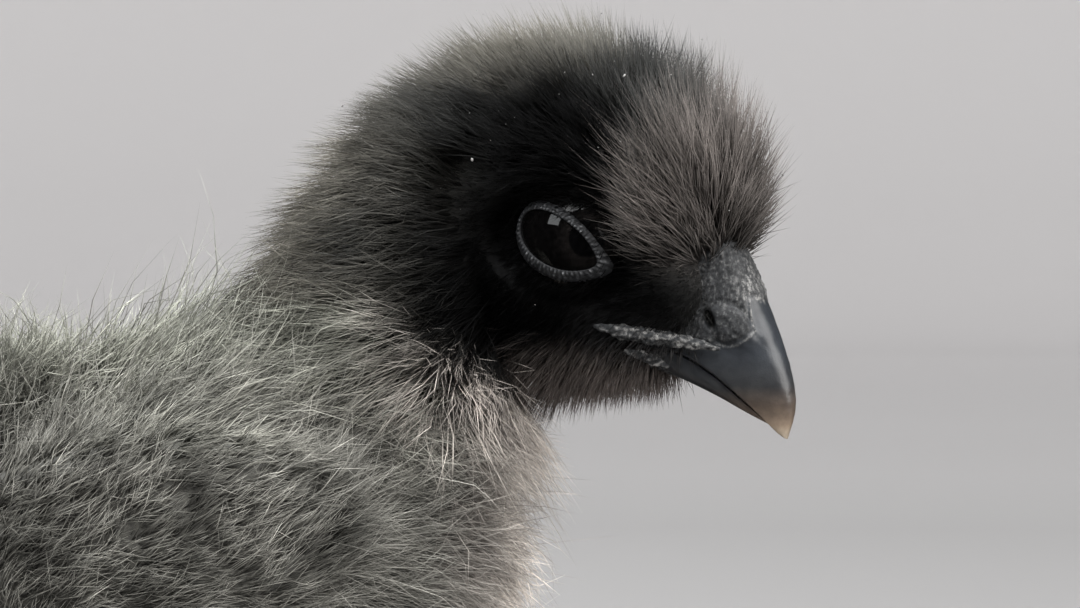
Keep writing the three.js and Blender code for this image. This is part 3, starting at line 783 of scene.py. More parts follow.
def strands(name, start, mid, tip, width, spin, rings, colours, spots, mat, slot):
    """Closed three-sided barbs from start over mid to tip, each with its own patch of the bake's map."""
    n, m = len(start), rings * 3 + 1
    a, b = sideways(unit(tip - start))
    verts = np.empty((n, m, 3))
    shade = np.append(np.repeat(np.arange(rings) / rings, 3), 1.0)
    for r in range(rings):
        t = r / rings
        middle = start * (1 - t) ** 2 + mid * 2 * t * (1 - t) + tip * t * t
        radius = (width * 0.5 * (1 - 0.55 * t))[:, None]
        for k in range(3):
            angle = FULL_TURN * k / 3 + spin
            verts[:, r * 3 + k] = middle + radius * (a * np.cos(angle)[:, None] + b * np.sin(angle)[:, None])
    verts[:, -1] = tip
    faces = [(0, 2, 1)]
    for r in range(0, rings * 3 - 3, 3):
        for k in range(3):
            j = (k + 1) % 3
            faces += [(r + k, r + j, r + 3 + j), (r + k, r + 3 + j, r + 3 + k)]
    last = (rings - 1) * 3
    faces += [(last + k, last + (k + 1) % 3, rings * 3) for k in range(3)]
    every = (np.array(faces)[None] + (np.arange(n) * m)[:, None, None]).reshape(-1, 3)
    mesh = bpy.data.meshes.new(name)
    mesh.vertices.add(n * m)
    mesh.vertices.foreach_set("co", ((verts + SHIFT) * MM).ravel())
    mesh.loops.add(len(every) * 3)
    mesh.loops.foreach_set("vertex_index", every.ravel())
    mesh.polygons.add(len(every))
    mesh.polygons.foreach_set("loop_start", np.arange(len(every)) * 3)
    mesh.update(calc_edges=True)
    obj = link(name, mesh)
    # Each strand is painted darker at its root and lighter toward its tip: painted shade deep in the coat and
    # painted light on the tips.
    paint(obj, "down", (colours[:, None] * (0.45 + 0.85 * shade)[:, None]).reshape(-1, 3))
    around = np.stack([np.tile([-0.5, 0.5, 0.0], rings + 1)[:m], shade - 0.5], -1) * BAKE_PATCH
    places = np.clip(spots[:, None] + around, 0.0, 1.0).reshape(-1, 2)
    mesh.uv_layers.new(name="OFBake").data.foreach_set("uv", places[every.ravel()].ravel())
    piece(obj, mat, slot)


def coat(name, pick, barbs, rings, mat, slot):
    """The barbs of the picked tufts, drawn into locks and kept to the outline."""
    idx = np.repeat(pick, barbs)
    n = len(idx)
    a, b = sideways(heading[idx])
    spread = np.radians(growth(region[idx], "spread"))
    spin = rng.uniform(0, FULL_TURN, n)
    wisp = rng.random(n) < 0.13
    long = stray[idx] & (rng.random(n) < 0.3)
    off = np.tan(np.abs(rng.normal(size=n)) * spread)
    d = unit(heading[idx] + (a * np.cos(spin)[:, None] + b * np.sin(spin)[:, None]) * off[:, None])
    dist = (length[idx] * np.where(wisp, rng.uniform(0.96, 1.13, n), rng.uniform(0.68, 1.05, n)))[:, None]
    dist = dist * np.where(long, rng.uniform(1.15, 1.5, n), 1)[:, None]
    bow = (growth(region[idx], "bow") * rng.uniform(0.4, 1.5, n))[:, None]
    width = growth(region[idx], "width") * rng.uniform(0.7, 1.2, n) * np.where(wisp | long, 0.85, 1)
    start = root[idx] - root_n[idx] * 0.15 + rng.normal(size=(n, 3)) * width[:, None] * 1.6
    a, b = sideways(d)
    curl = (a * rng.normal(size=(n, 1)) + b * rng.normal(size=(n, 1))) * dist * bow * 0.6
    mid = start + d * dist * 0.5 + root_n[idx] * dist * bow + curl
    lift = np.where(long, 0.1, 0.0)[:, None] * dist * [0, 0, 1]
    bend = lift + (a * rng.normal(size=(n, 1)) + b * rng.normal(size=(n, 1))) * dist * bow * 0.8
    tip = start + d * dist - root_n[idx] * dist * bow * 0.35 + bend
    lean = (lock_tip[idx] - tips[idx]) * (draw[idx] * rng.uniform(0.5, 1.3, n) * ~(wisp | long))[:, None]
    mid, tip = mid + lean * 0.3, tip + lean
    share = kept_in(start, mid, tip)
    if name.startswith(("coat_crown", "coat_neck")):
        beyond = np.min([form.within(tip) for form in FORMS.values()], axis=0)[:, None]
        share = share * np.clip(1 - 3 * (beyond - 1.06), 0.5, 1)
    mid, tip = cut_short(start, mid, tip, share)
    plain = mat == CROWN
    tone = (tuft_tone[idx] * np.exp(rng.normal(size=n) * (0.12 if plain else 0.2)))[:, None]
    # Wisps are painted lighter, as if light were shining through them at the outline; the long stray strands
    # are darker.
    tone *= np.where(wisp, 1.12 if plain else 1.35, 1)[:, None] * np.where(long, 0.7, 1)[:, None]
    strands(name, start, mid, tip, width, spin, rings, colour[idx] * tone, root_uv[idx], mat, slot)


shown = (root[:, 0] > -12) & (root[:, 1] < 2) & among(region, "breast", "back")
for i, name in enumerate(REGIONS):
    barbs = GROWTH[name.split("_")[0]].barbs
    groups = []
    for mask, rings in ((shown, SHOWN_RINGS), (~shown, RINGS)):
        pick = np.flatnonzero((region == i) & mask)
        parts = math.ceil(len(pick) * barbs * (6 * rings - 2) / MOST_TRIANGLES)
        groups += [(pick[k * len(pick) // parts:(k + 1) * len(pick) // parts], rings) for k in range(parts)]
    look = (CROWN, "crown_down") if name in ("crown", "face") else (DOWN, "down")
    for k, (pick, rings) in enumerate(groups):
        label = f"coat_{name}" + (f"_{k + 1}" if len(groups) > 1 else "")
        coat(label, pick, barbs, rings, *look)


def dust_specks(amount):
    """Pale specks of dust caught in the head's down, more of them toward its top."""
    clear = eye_gap(np.abs(at_head) * [0, 1, 0] + at_head * [1, 0, 1]) > 1.6
    upon = np.flatnonzero(on_head & (at_head[:, 2] > -7) & clear)
    weight = 0.25 + fade(at_head[upon, 2], -2, 5)
    specks = []
    for i in rng.choice(upon, amount, replace=False, p=weight / weight.sum()):
        at = root[i] + heading[i] * length[i] * rng.uniform(0.75, 1.0)
        reach = np.array([1, 0.7, 0.4]) * rng.uniform(0.03, 0.085) * (1 + 1.2 * (rng.random() < 0.08))
        rot = turn("z", rng.uniform(0, 360)) @ turn("y", rng.uniform(0, 180))
        specks.append(ball(Form(at, reach, rot), 0, 3, 6))
    piece(object_from("dust_specks", *join_parts(specks)), DUST, "crown_down")


dust_specks(150)

# The bill's profiles, as forward and up in the head's frame, from the base to the tip.
CULMEN = [(11.6, 1.4), (14.3, -1.3), (16.6, -5.9), (18.2, -10), (18.75, -12.9), (18.2, -15.4)]
TOMIUM = [(8.4, -8.5), (11, -9.1), (13.5, -10.7), (15.9, -13), (17.85, -15.15)]
GONYS = [(7.4, -10.3), (9.8, -11.0), (12.9, -12.35), (15.1, -13.5), (16.9, -14.4)]
LOWER_EDGE = [(8.3, -8.75), (10.9, -9.3), (13.3, -10.85), (15.25, -12.7), (16.85, -14.2)]
BILL_WIDE, BILL_TIP = 4.3, 0.4
# Marks on the side of the bill, in millimetres ahead of and above the head's middle as its own side is seen.
HORN_EDGE = [(16.0, -5.0), (15.1, -5.6), (13.7, -5.2), (13.9, -7.1), (14.1, -7.5), (13.55, -8.1),
             (12.8, -8.5), (12.2, -8.65), (11.3, -8.5), (10.6, -8.8), (9.0, -9.2), (6.0, -9.0), (0, -9.0),
             (0, 4), (16, 4)]
RIM = HORN_EDGE[1:9] + [(10.75, -8.0)]
NOSTRIL, OPERCULUM = (10.85, -6.7), (12.35, -7.15)
# The soft ridges back from the mouth's corner: the path of each in the head's frame, and its thickness.
GAPE_RIDGES = (
    ([(5.7, 6.5, -7.1), (7.0, 6.05, -7.45), (8.6, 5.45, -7.75), (10.8, 4.6, -8.1), (12.8, 4.0, -8.45),
      (14.4, 3.55, -8.8)], [0.10, 0.36, 0.56, 0.58, 0.50, 0.36, 0.12]),
    ([(7.6, 5.35, -8.95), (8.6, 4.95, -9.25), (9.6, 4.5, -9.7), (10.6, 4.1, -10.1)],
     [0.10, 0.34, 0.36, 0.12]),
)


def seen(g):
    """A point of the head as its marks are given: how far ahead, and how high."""
    yaw = math.radians(HEAD_YAW)
    return np.stack([g[:, 0] * math.cos(yaw) - g[:, 1] * math.sin(yaw), g[:, 2]], -1)


def line_gap(q, line):
    """The shortest way from points to an open line."""
    out = np.full(len(q), np.inf)
    for a, b in zip(np.array(line[:-1]), np.array(line[1:])):
        t = np.clip(((q - a) @ (b - a)) / ((b - a) @ (b - a)), 0, 1)[:, None]
        out = np.minimum(out, np.linalg.norm(q - a - (b - a) * t, axis=1))
    return out


def inside(q, ring):
    hit = np.zeros(len(q), bool)
    for (x0, y0), (x1, y1) in zip(ring, ring[1:] + ring[:1]):
        cross = (y0 > q[:, 1]) != (y1 > q[:, 1])
        hit ^= cross & (q[:, 0] < (x1 - x0) * (q[:, 1] - y0) / (y1 - y0 + 1e-12) + x0)
    return hit


def tilted(q, at, degrees, reach):
    """How far out points lie of a tilted oval, 1 on its edge, and their places along and across it."""
    a = math.radians(degrees)
    d = q - at
    u, v = d[:, 0] * math.cos(a) + d[:, 1] * math.sin(a), -d[:, 0] * math.sin(a) + d[:, 1] * math.cos(a)
    return np.hypot(u / reach[0], v / reach[1]), u, v


def crinkle(p, size, seed, stretch=(1, 1, 1)):
    """Soft lumps of about a size, from waves in many directions, between about -1 and 1."""
    r = np.random.default_rng(seed)
    waves = unit(r.normal(size=(26, 3))) * (FULL_TURN / size) * r.uniform(0.7, 1.4, (26, 1)) * stretch
    return np.sin(p @ waves.T + r.uniform(0, 6.28, 26)).sum(1) / 4.5


def mandible(ridge, edge, narrow, steps, around, name):
    """A half of the bill: sections from edge to edge over the ridge, closed by a shallow palate."""
    arc = np.linspace(0, math.pi, around)
    palate = np.linspace(-1, 1, 13)[1:-1]
    rings = []
    for t in np.linspace(0, 1, steps):
        r, e = spline(ridge, t), spline(edge, t)
        half = (BILL_WIDE + (BILL_TIP - BILL_WIDE) * t**1.25) * narrow
        out = np.sign(np.cos(arc)) * np.abs(np.cos(arc)) ** 0.78
        top = e[None] + (r - e)[None] * (np.sin(arc) ** 0.9)[:, None]
        inner = e + (r - e) * 0.16 * (1 - palate[::-1, None] ** 2)
        over = np.stack([top[:, 0], half * out, top[:, 1]], -1)
        under = np.stack([inner[:, 0], half * palate * 0.97, inner[:, 1]], -1)
        rings.append(np.vstack([over, under]))
    verts, faces = tube(rings)
    return faced_out(object_from(name, from_head(verts), faces))


def faced_out(obj):
    bm = bmesh.new()
    bm.from_mesh(obj.data)
    bmesh.ops.recalc_face_normals(bm, faces=bm.faces)
    bm.to_mesh(obj.data)
    bm.free()
    return obj


def horn_tone(height):
    """How far down toward the bill's tip a height lies, from 0 to 1."""
    return np.clip((-height - 4) / 11.4, 0, 1)


def upper_bill():
    """The upper half, with its nostril, the flap over it, the flaking cere and the smooth horn."""
    bill = mandible(CULMEN, TOMIUM, 1.0, 150, 121, "bill_upper_horn")
    g = to_head(verts_of(bill))
    near_side = g * np.stack([np.ones(len(g)), np.sign(g[:, 1] + 1e-9), np.ones(len(g))], -1)
    q = seen(near_side)
    rim = line_gap(q, RIM)
    cere = inside(q, HORN_EDGE).astype(float)
    soft = cere * fade(line_gap(q, HORN_EDGE[:12]), 0, 0.5)
    flap, along, across = tilted(q, OPERCULUM, -40, (1.75, 1.2))
    hole = np.exp(-(tilted(q, NOSTRIL, -68, (0.72, 0.30))[0] ** 4))
    wall = fade(np.abs(g[:, 1]), 0.6, 1.8)
    swell = np.exp(-(flap**4))
    lumps = crinkle(g, 0.42, 3) * 0.5 + crinkle(g, 0.22, 4) * 0.5
    rise = 0.16 * soft + 0.055 * soft * lumps * (1 - 0.6 * swell)
    rise += 0.010 * (1 - cere) * crinkle(g, 1.1, 5, (0.3, 1, 1))
    rise += wall * (0.10 * hump(rim, 0, 0.09) + 0.52 * swell)
    rise -= wall * (0.16 * hump(flap, 1.16, 0.14) * cere + 1.3 * hole)
    rise += wall * 0.05 * hump(flap, 0, 1) * np.sin(across * 9 + 0.8 * np.sin(along * 2))
    set_verts(bill, from_head(g) + read(bill.data.vertices, "normal", 3) * rise[:, None])
    flakes = hump(q[:, 0], 14.1, 1.1) * hump(q[:, 1], -4.4, 1.5) * cere
    flakes = flakes * (0.35 + 1.5 * (crinkle(g, 0.42, 6, (1, 1, 0.4)) > 0.15)) + 0.3 * soft * (lumps > 0.35)
    flakes = np.maximum(flakes, hump(rim, 0, 0.07) * wall) * (1 - hole)
    paint(bill, "along", np.stack([horn_tone(g[:, 2]), np.clip(flakes, 0, 1), np.clip(soft, 0, 1)], -1))
    # The nostril's pit is painted near black as shade.
    paint(bill, "pit_shade", hole * wall)
    piece(bill, HORN, "bill", "bill_upper", "cere_left", "cere_right")


def lower_bill():
    bill = mandible(GONYS, LOWER_EDGE, 0.84, 90, 61, "bill_lower_horn")
    g = to_head(verts_of(bill))
    rear = 1 - fade(g[:, 0], 8.5, 11)
    rise = 0.05 * rear * crinkle(g, 0.5, 8)
    set_verts(bill, from_head(g) + read(bill.data.vertices, "normal", 3) * rise[:, None])
    dry = rear * (crinkle(g, 0.4, 9) > 0.2) * 0.7
    paint(bill, "along", np.stack([horn_tone(g[:, 2]) * 0.97, dry, rear], -1))
    paint(bill, "pit_shade", np.zeros(len(g)))
    piece(bill, HORN, "bill", "bill_lower")


def gape(name, s):
    around = 28
    folds = []
    for line, thick in GAPE_RIDGES:
        t = np.linspace(0, 1, 110)
        path = spline([(x, y * s, z) for x, y, z in line], t)
        thick = np.interp(t, np.linspace(0, 1, len(thick)), thick)
        tangent = unit(np.gradient(path, axis=0))
        side = unit(np.cross(tangent, [0, 0, 1.0]))
        up = np.cross(side, tangent)
        verts, faces = tube(rings_along(path, side, up, circle(around), thick, wide=0.75))
        middle = np.vstack([np.repeat(path, around, axis=0), path[:1], path[-1:]])
        bumps = crinkle(verts, 0.60, 21, (0.35, 1, 1.2)) * 0.06
        bumps += crinkle(verts, 0.30, 12, (0.6, 1, 1)) * 0.045
        bumps = bumps * np.append(np.repeat(thick / 0.5, around), [0, 0])
        folds.append((verts + unit(verts - middle + 1e-6) * bumps[:, None], faces))
    verts, faces = join_parts(folds)
    ridge = faced_out(object_from("gape_" + name, from_head(verts), faces))
    dry = np.clip(0.40 + 0.85 * crinkle(verts, 0.5, 13, (0.4, 1, 1.4)), 0, 1) * fade(verts[:, 0], 5.2, 7.5)
    paint(ridge, "along", np.stack([np.zeros(len(verts)), dry, np.ones(len(verts))], -1))
    paint(ridge, "pit_shade", np.zeros(len(verts)))
    piece(ridge, HORN, "bill")


upper_bill()
lower_bill()
for name, s in SIDES:
    gape(name, s)

# Eyes and lids.
GAZE = unit([0.59, 0.81, 0.03])
EYE_SPREAD = 46


def eyeball(name, s):
    verts, faces = ball(Form((0, 0, 0), (EYE_R,) * 3), 0, 46, 72)
    off = np.degrees(np.arccos(np.clip(unit(verts) @ (GAZE * [1, s, 1]), -1, 1))) / EYE_SPREAD
    verts = verts * (1 + 0.02 * hump(off, 0, 0.75))[:, None]
    eye = object_from("eye_" + name + "_ball", from_head(verts + EYE_AT * [1, s, 1]), faces)
    paint(eye, "pupil", np.clip(off, 0, 1))
    piece(eye, EYE, "eye", "eye_" + name)


def lid(name, s):
    """The rim of the lids: rows of small scales round the opening, wider below and at the front corner."""
    a = circle(420)[:, None]
    w = np.linspace(0, 1, 17)[None]
    below = np.clip(-np.sin(a), 0, 1)
    front = hump((a + math.pi) % FULL_TURN - math.pi, 0, 0.42)
    edge_u, edge_v = EYE_LONG * np.cos(a) * (1 + 0.07 * front), EYE_HIGH * np.sin(a)
    norm = np.hypot(np.cos(a) / EYE_LONG, np.sin(a) / EYE_HIGH)
    out_u, out_v = np.cos(a) / EYE_LONG / norm, np.sin(a) / EYE_HIGH / norm
    wide = (0.70 + 0.36 * below + 0.24 * front) * w
    way = np.cumsum(np.hypot(np.gradient(edge_u[:, 0]), np.gradient(edge_v[:, 0])))[:, None]
    way = way / way[-1] * FULL_TURN
    inner_row = hump(w, 0.27, 0.17) * (0.5 + 0.5 * np.cos(58 * way)) ** 0.7
    middle_row = 0.7 * hump(w, 0.60, 0.12) * (0.5 + 0.5 * np.cos(46 * way + 1.0))
    outer_row = 0.5 * hump(w, 0.86, 0.10) * (0.5 + 0.5 * np.cos(46 * way + 2.6)) * (0.3 + 0.7 * below)
    uneven = 0.62 + 0.26 * np.sin(7 * way + 1) * np.sin(13 * way) + 0.24 * np.sin(31 * way + 9 * w)
    beads = (inner_row + middle_row + outer_row) * uneven
    flat = EYE_AT * [1, 0, 1] + (edge_u + out_u * wide)[..., None] * LONG
    flat = flat + (edge_v + out_v * wide)[..., None] * HIGH
    rise = 0.26 * np.sin(math.pi * np.clip(w * 0.88 + 0.12, 0, 1)) ** 0.7 + 0.17 * beads
    level = eye_level(flat) + rise - 0.12 * w
    level[:, 0] = eye_level(flat[:, 0]) - 0.2
    top = flat + level[..., None] * [0, 1, 0]
    inner = flat[:, :1] + (eye_level(flat[:, :1]) - 0.7)[..., None] * [0, 1, 0]
    outer = flat[:, -1:] + (eye_level(flat[:, -1:]) - 1.0)[..., None] * [0, 1, 0]
    ring = np.concatenate([top, outer, inner], axis=1) * [1, s, 1]
    rows, cols = ring.shape[:2]
    faces = []
    for i in range(rows):
        for j in range(cols):
            k, m = (i + 1) % rows, (j + 1) % cols
            quad = (i * cols + j, k * cols + j, k * cols + m, i * cols + m)
            faces.append(quad if s < 0 else quad[::-1])
    rim = object_from("lid_" + name + "_rim", from_head(ring.reshape(-1, 3)), faces)
    pale = np.concatenate([0.12 + 0.95 * beads, np.zeros((rows, 2))], axis=1).ravel()
    paint(rim, "pale", np.clip(pale * rng.uniform(0.75, 1.1, len(pale)), 0, 1))
    piece(rim, LID, "skin", "lid_" + name)


for name, s in SIDES:
    eyeball(name, s)
    lid(name, s)

# Legs, toes and claws. A toe has its way in degrees outward from straight ahead, its length, its radius at
# each end, its number of joints and how high its end is held.
HOCK, FOOT = np.array([-10, 12.2, 25.5]), np.array([0, 12.6, 2.9])
Toe = namedtuple("Toe", "outward length base end joints lift")
TOES = {
    "inner": Toe(-27, 10.5, 1.7, 1.15, 2, 0.0),
    "middle": Toe(4, 14, 1.9, 1.2, 3, 0.0),
    "outer": Toe(34, 11.5, 1.7, 1.1, 3, 0.0),
    "hind": Toe(186, 7, 1.6, 1.1, 1, 0.0),
    "fifth": Toe(216, 8, 1.45, 1.0, 1, 4.2),
}
CLAW_LONG = 3.6
CLAW_RINGS, CLAW_AROUND = 20, 18


def leg_line(s):
    """A leg's hock, the middle of its shank, its ankle and its foot."""
    hock, foot = HOCK * [1, s, 1], FOOT * [1, s, 1]
    ankle = foot + [-0.4, 0, 1.6]
    return hock, (hock + ankle) / 2 + [0.6, 0, 0], ankle, foot


def toe_way(toe, s):
    a = math.radians(toe.outward)
    return np.array([math.cos(a), math.sin(a) * s, 0])


def frame_along(path):
    tangent = unit(np.gradient(path, axis=0))
    up = np.array([0, 0, 1.0]) - tangent * tangent[:, 2:3]
    bad = np.linalg.norm(up, axis=1) < 0.3
    up[bad] = (np.array([1.0, 0, 0]) - tangent * tangent[:, 0:1])[bad]
    up = unit(up)
    return np.cross(up, tangent), up


def limb(path, radius, scutes, around, plate):
    """A leg or toe along path, with overlapping plates over its upper side."""
    angles = circle(around)
    t = np.linspace(0, 1, len(path))[:, None]
    over, under = np.clip(np.sin(angles) * 1.6, 0, 1), np.clip(-np.sin(angles), 0, 1)
    plates = plate * (1 - (t * scutes) % 1) ** 0.7 * over
    pads = 0.05 * under * np.cos(FULL_TURN * t * scutes * 1.4)
    return tube(rings_along(path, *frame_along(path), angles, radius[:, None] * (1 + plates + pads)))


def floor_cut(verts):
    return np.maximum(verts, [-np.inf, -np.inf, 0.0])


def claw(label, path, radius):
    """A claw that goes on from the end of a toe's path and bends down to the floor."""
    tangent = unit(path[-1] - path[-4])
    c = np.linspace(0, 1, CLAW_RINGS)
    line = path[-1] - tangent * 0.9 + tangent * ((CLAW_LONG + radius) * c)[:, None]
    line[:, 2] += 0.55 * np.sin(math.pi * c) - (radius - 0.45) * c * c
    thick = radius * 0.72 * (1 - c**1.7) * (0.72 + 0.28 * fade(c, 0, 0.3)) + 0.09
    verts, faces = tube(rings_along(line, *frame_along(line), circle(CLAW_AROUND), thick, 0.78, 1.05))
    horn = object_from(label + "_horn", floor_cut(verts), faces)
    paint(horn, "along", np.append(np.repeat(c, CLAW_AROUND), [0, 1]))
    piece(horn, CLAW_HORN, "claw", label)


def leg(name, s):
    hock, middle, ankle, foot = leg_line(s)
    t = np.linspace(0, 1, 84)
    shank = limb(spline([hock, middle, ankle], t), spline([(2.7,), (1.9,), (2.3,)], t)[:, 0], 13, 24, 0.06)
    parts = [shank, ball(Form(foot + [0, 0, -0.2], (3.5, 3.1, 2.7)))]
    t = np.linspace(0, 1, 56)
    for toe_name, toe in TOES.items():
        radius = toe.base + (toe.end - toe.base) * t
        path = foot * [1, 1, 0] + toe_way(toe, s) * (2 + (toe.length - toe.end - 2) * t)[:, None]
        path[:, 2] = radius - 0.3 + toe.lift * t * t + (1.4 * t if toe.lift else 0)
        pad = radius * (1 + 0.09 * np.cos(FULL_TURN * toe.joints * t))
        pad[-3:] *= [0.93, 0.8, 0.55]
        verts, faces = limb(path, pad, toe.joints * 4 + 1, 18, 0.08)
        parts.append((floor_cut(verts), faces))
        claw(f"claw_{toe_name}_{name}", path, toe.end)
    verts, faces = join_parts(parts)
    obj = object_from("leg_" + name, verts, faces)
    paint(obj, "pale", np.clip(fade(1.2 - verts[:, 2], 0, 1.2) * 0.6, 0, 1))
    piece(obj, SCALE, "skin", "shank_" + name, "foot_" + name)


for name, s in SIDES:
    leg(name, s)


def leg_down(name, s, tufts=620, barbs=6):
    """Down all round below the hock, then down the shank's outer side and along two toes."""
    hock, middle, ankle, foot = leg_line(s)
    t = rng.random(tufts) ** 1.25
    angle = rng.uniform(-math.pi, math.pi, tufts)
    outer = 0.5 + 0.5 * np.sin(angle)
    keep = (t < 0.30 + 0.1 * rng.random(tufts)) | (outer > 0.62 + 0.25 * rng.random(tufts))
    t, angle = t[keep], angle[keep]
    away = np.cos(angle)[:, None] * np.array([0.9, 0, 0.42]) + np.sin(angle)[:, None] * np.array([0, s, 0])
    spots = [spline([hock, middle, ankle], t) + away * spline([(2.5,), (1.8,), (2.1,)], t)]
    ways = [unit(away * (0.22 + 0.30 * t[:, None]) + unit(ankle - hock) + [-0.2, 0, -0.3])]
    sizes = [2.6 + 2.4 * np.sin(math.pi * (0.12 + 0.7 * t))]
    maps = [np.stack([0.02 + 0.44 * t, 0.5 + 0.45 * angle / math.pi], -1)]
    for toe_name, amount, row in (("outer", 70, 0.25), ("middle", 36, 0.75)):
        toe = TOES[toe_name]
        way = toe_way(toe, s)
        side = np.array([-way[1], way[0], 0]) * s
        t = rng.uniform(0.1, 0.86, amount)
        spots.append(foot * [1, 1, 0] + way * (2 + (toe.length - 2) * t)[:, None] + [0, 0, 1.5] + side * 1.15)
        lean = side * rng.uniform(0.5, 1.1, (amount, 1)) + way * 0.7
        ways.append(unit(lean + np.array([0, 0, 1.0]) * rng.uniform(-0.1, 0.5, (amount, 1))))
        sizes.append(rng.uniform(2.2, 4.0, amount) * (1 - 0.3 * t))
        maps.append(np.stack([0.55 + 0.4 * t, np.full(amount, row)], -1))
    spots, ways, maps = np.vstack(spots), np.vstack(ways), np.vstack(maps)
    idx = np.repeat(np.arange(len(spots)), barbs)
    n = len(idx)
    go = unit(ways[idx] + 0.20 * rng.normal(size=(n, 3)))
    dist = (np.concatenate(sizes)[idx] * rng.uniform(0.6, 1.05, n))[:, None]
    start = spots[idx] + 0.12 * rng.normal(size=(n, 3))
    tip = start + go * dist + [0, 0, -0.12] * dist
    tip[:, 2] = np.maximum(tip[:, 2], 0.25)
    mid = (start + tip) / 2 + unit(ways[idx]) * dist * 0.1 + [0, 0, 0.12] * dist
    mid, tip = cut_short(start, mid, tip, kept_in(start, mid, tip))
    tone = np.exp(rng.normal(size=n) * 0.2)[:, None] * mix(CHARCOAL * 1.1, GREY, fade(start[:, 2], 8, 26))
    strands("coat_leg_" + name, start, mid, tip, rng.uniform(0.09, 0.15, n), np.zeros(n), RINGS,
            tone, maps[idx], DOWN, "down")


for name, s in SIDES:
    leg_down(name, s)

# The first quills at the edge of each wing, in rows: how many, where the first starts, the step to the next,
# how long they are, and their slope with what each adds to it, in degrees.
QUILLS = (
    (3, (-5, 20.9, 60), (-0.8, -0.7, -2.4), 13.0, 2.0, 5.0),
    (4, (-8, 19.9, 54), (-0.9, -0.7, -1.8), 15.5, 5.0, 4.5),
)
QUILL_TUCK = 0.36


def quill(at, go, long, s, row, barbs=250):
    """A quill's barbs and shaft: starts, middles, tips, widths, tones and places in the bake's map."""
    def spine(t):
        t = np.asarray(t)[:, None]
        return at + go * (long * t) + np.array([0, 0.5 * s, -1.2]) * (t * t)

    across = unit(np.cross(go, [0, s, 0]))
    t = np.sort(rng.uniform(0.06, 1.0, barbs))
    hand = rng.choice([-1.0, 1.0], barbs)
    a = spine(t)
    reach = 2.3 * (1 - 0.45 * t) * rng.uniform(0.6, 1.15, barbs)
    b = a + go * (reach * 1.7)[:, None] + across * (hand * reach * 0.8)[:, None]
    b = b + rng.normal(size=(barbs, 3)) * 0.2
    mid = (a + b) / 2 + across * (hand * reach * 0.2)[:, None]
    width = rng.uniform(0.08, 0.14, barbs)
    shade = np.exp(rng.normal(size=(barbs, 1)) * 0.2) * (0.75 + 0.3 * t[:, None])
    place = np.stack([0.04 + 0.9 * np.append(t, 0), np.full(barbs + 1, 0.08 + 0.12 * row)], -1)
    shaft = ((a, spine([0.0])), (mid, spine([0.5])), (b, spine([1.0])), (width[:, None], [[0.34]]),
             (GREY * shade * 1.05, [GREY * 1.5]))
    return (*(np.vstack(pair) for pair in shaft), place)


def wing_quills(name, s):
    quills = []
    for amount, first, step, long, slope, fan in QUILLS:
        for i in range(amount):
            at = (np.array(first) + np.array(step) * i) * [1, s, 1]
            go = unit([-1, -QUILL_TUCK * s, -math.tan(math.radians(slope + fan * i))])
            quills.append(quill(at, go, long, s, len(quills)))
    start, mid, tip, width, tone, places = (np.vstack(rows) for rows in zip(*quills))
    strands("quills_" + name, start, mid, tip, width[:, 0], np.zeros(len(width)), RINGS, tone, places,
            DOWN, "down")


for name, s in SIDES:
    wing_quills(name, s)

# The stage: a round floor that curves up into a wall, in metres, paler the farther out: painted shade near
# the middle, where the lamps light it most, so that it looks evenly pale.
FLOOR_R, COVE_R, WALL_TOP = 1.6, 0.6, 2.4
TONES = ((0.05, 0.19), (0.20, 0.24), (0.31, 0.315), (0.38, 0.42), (0.47, 0.517), (0.64, 0.655), (0.77, 0.655),
         (0.875, 0.72), (0.95, 0.76))


def studio_floor(around=72):
    bends = np.linspace(0, math.pi / 2, 28)
    profile = [(FLOOR_R + COVE_R * math.sin(a), COVE_R - COVE_R * math.cos(a)) for a in bends]
    profile.append((FLOOR_R + COVE_R, WALL_TOP))
    verts = [(0, 0, 0)]
    for r, z in profile:
        verts += [(r * math.cos(a), r * math.sin(a), z) for a in circle(around)]
    faces = [(0, 1 + j, 1 + (j + 1) % around) for j in range(around)]
    for i in range(len(profile) - 1):
        for j in range(around):
            k = (j + 1) % around
            a, b = 1 + i * around, 1 + (i + 1) * around
            faces.append((a + j, b + j, b + k, a + k))
    mesh = bpy.data.meshes.new("studio_floor")
    mesh.from_pydata(verts, [], faces)
    shader = Shader("studio_pale", 0.9)
    far = shader.made("VectorMath")
    far.operation = "LENGTH"
    shader.links.new(shader.place(), far.inputs[0])
    reach = shader.made("MapRange", From_Max=WALL_TOP, Value=far.outputs["Value"])
    stops = [(at, (tone, tone * 0.981, tone * 0.966)) for at, tone in TONES]
    mesh.materials.append(shader.finished(shader.ramp(reach.outputs["Result"], *stops)))
    return link("studio_floor", mesh)


studio = studio_floor()


def world_point(design):
    return Vector(((np.asarray(design, float) + SHIFT) * MM).tolist())


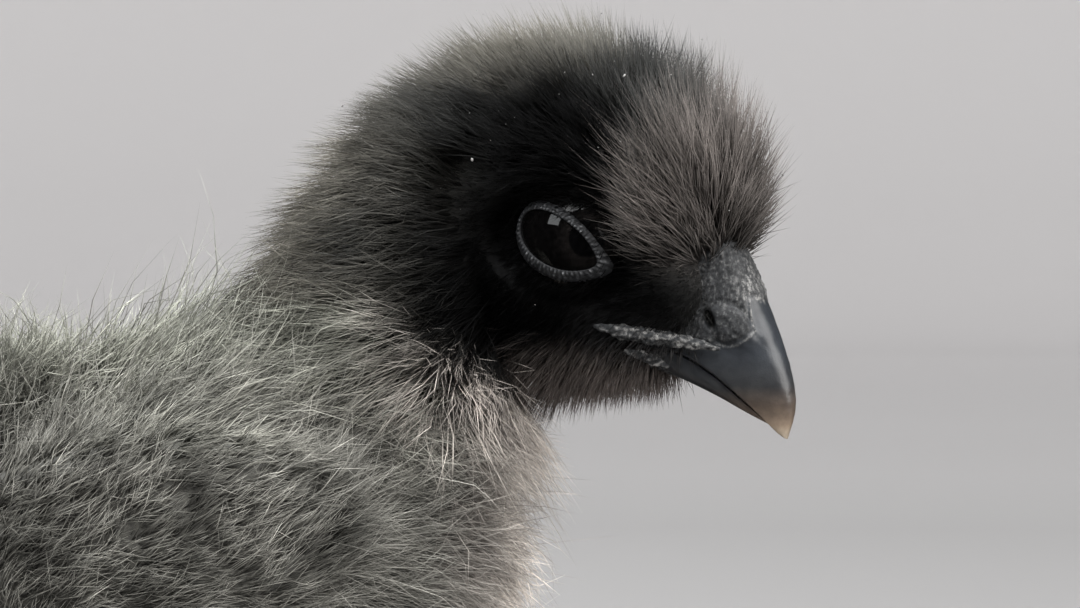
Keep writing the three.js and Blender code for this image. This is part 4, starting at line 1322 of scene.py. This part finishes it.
def placed(name, data, at, aim=None):
    obj = bpy.data.objects.new(name, data)
    obj.location = world_point(at)
    if aim is not None:
        obj.rotation_euler = (world_point(aim) - obj.location).to_track_quat("-Z", "Y").to_euler()
    bpy.context.collection.objects.link(obj)
    return obj


def light(name, kind, at, size, power, colour, glossy=True):
    """A soft light: a square one aimed at the head, or a round one. Size is a side or a radius in metres."""
    lamp = bpy.data.lights.new(name, kind)
    lamp.energy = power
    lamp.color = colour
    if kind == "AREA":
        lamp.shape = "RECTANGLE"
        lamp.size, lamp.size_y = size
    else:
        lamp.shadow_soft_size = size
    obj = placed(name, lamp, at, HEAD_SPOT if kind == "AREA" else None)
    obj.visible_glossy = glossy
    obj.visible_camera = False


HEAD_SPOT = (25, 0, 75)
light("key_soft", "POINT", (40, -440, 430), 0.18, 10.7, (1.0, 0.985, 0.96), glossy=False)
light("window", "AREA", (-330, -300, 420), (0.22, 0.20), 0.55, (0.95, 0.98, 1.0))
light("overhead", "AREA", (0, 60, 620), (0.8, 0.8), 9.0, (0.98, 0.99, 1.0))
light("fill_front", "POINT", (520, -160, 260), 0.24, 10.5, (1.0, 0.98, 0.96))
light("fill_back", "POINT", (-420, 420, 260), 0.24, 9.4, (0.97, 0.98, 1.0))
world = bpy.data.worlds.new("pale_room")
world.use_nodes = True
world.node_tree.nodes["Background"].inputs["Color"].default_value = (0.95, 0.96, 1.0, 1)
world.node_tree.nodes["Background"].inputs["Strength"].default_value = 0.95
world.cycles_visibility.glossy = False
studio.visible_glossy = False
bpy.context.scene.world = world
bpy.context.scene.view_settings.view_transform = "Standard"

# The photo's view: a long lens from the chick's right, a little above the head.
CAMERA_RISE = math.radians(2)
CAMERA_FAR = 400
CAMERA_AIM = np.array([29.52, -1.0, 73.15])
lens = bpy.data.cameras.new("photo_camera")
lens.sensor_width = 36
lens.lens = 180
lens.clip_start, lens.clip_end = 0.02, 12
camera_at = CAMERA_AIM + CAMERA_FAR * np.array([0, -math.cos(CAMERA_RISE), math.sin(CAMERA_RISE)])
bpy.context.scene.camera = placed("photo_camera", lens, camera_at, CAMERA_AIM)
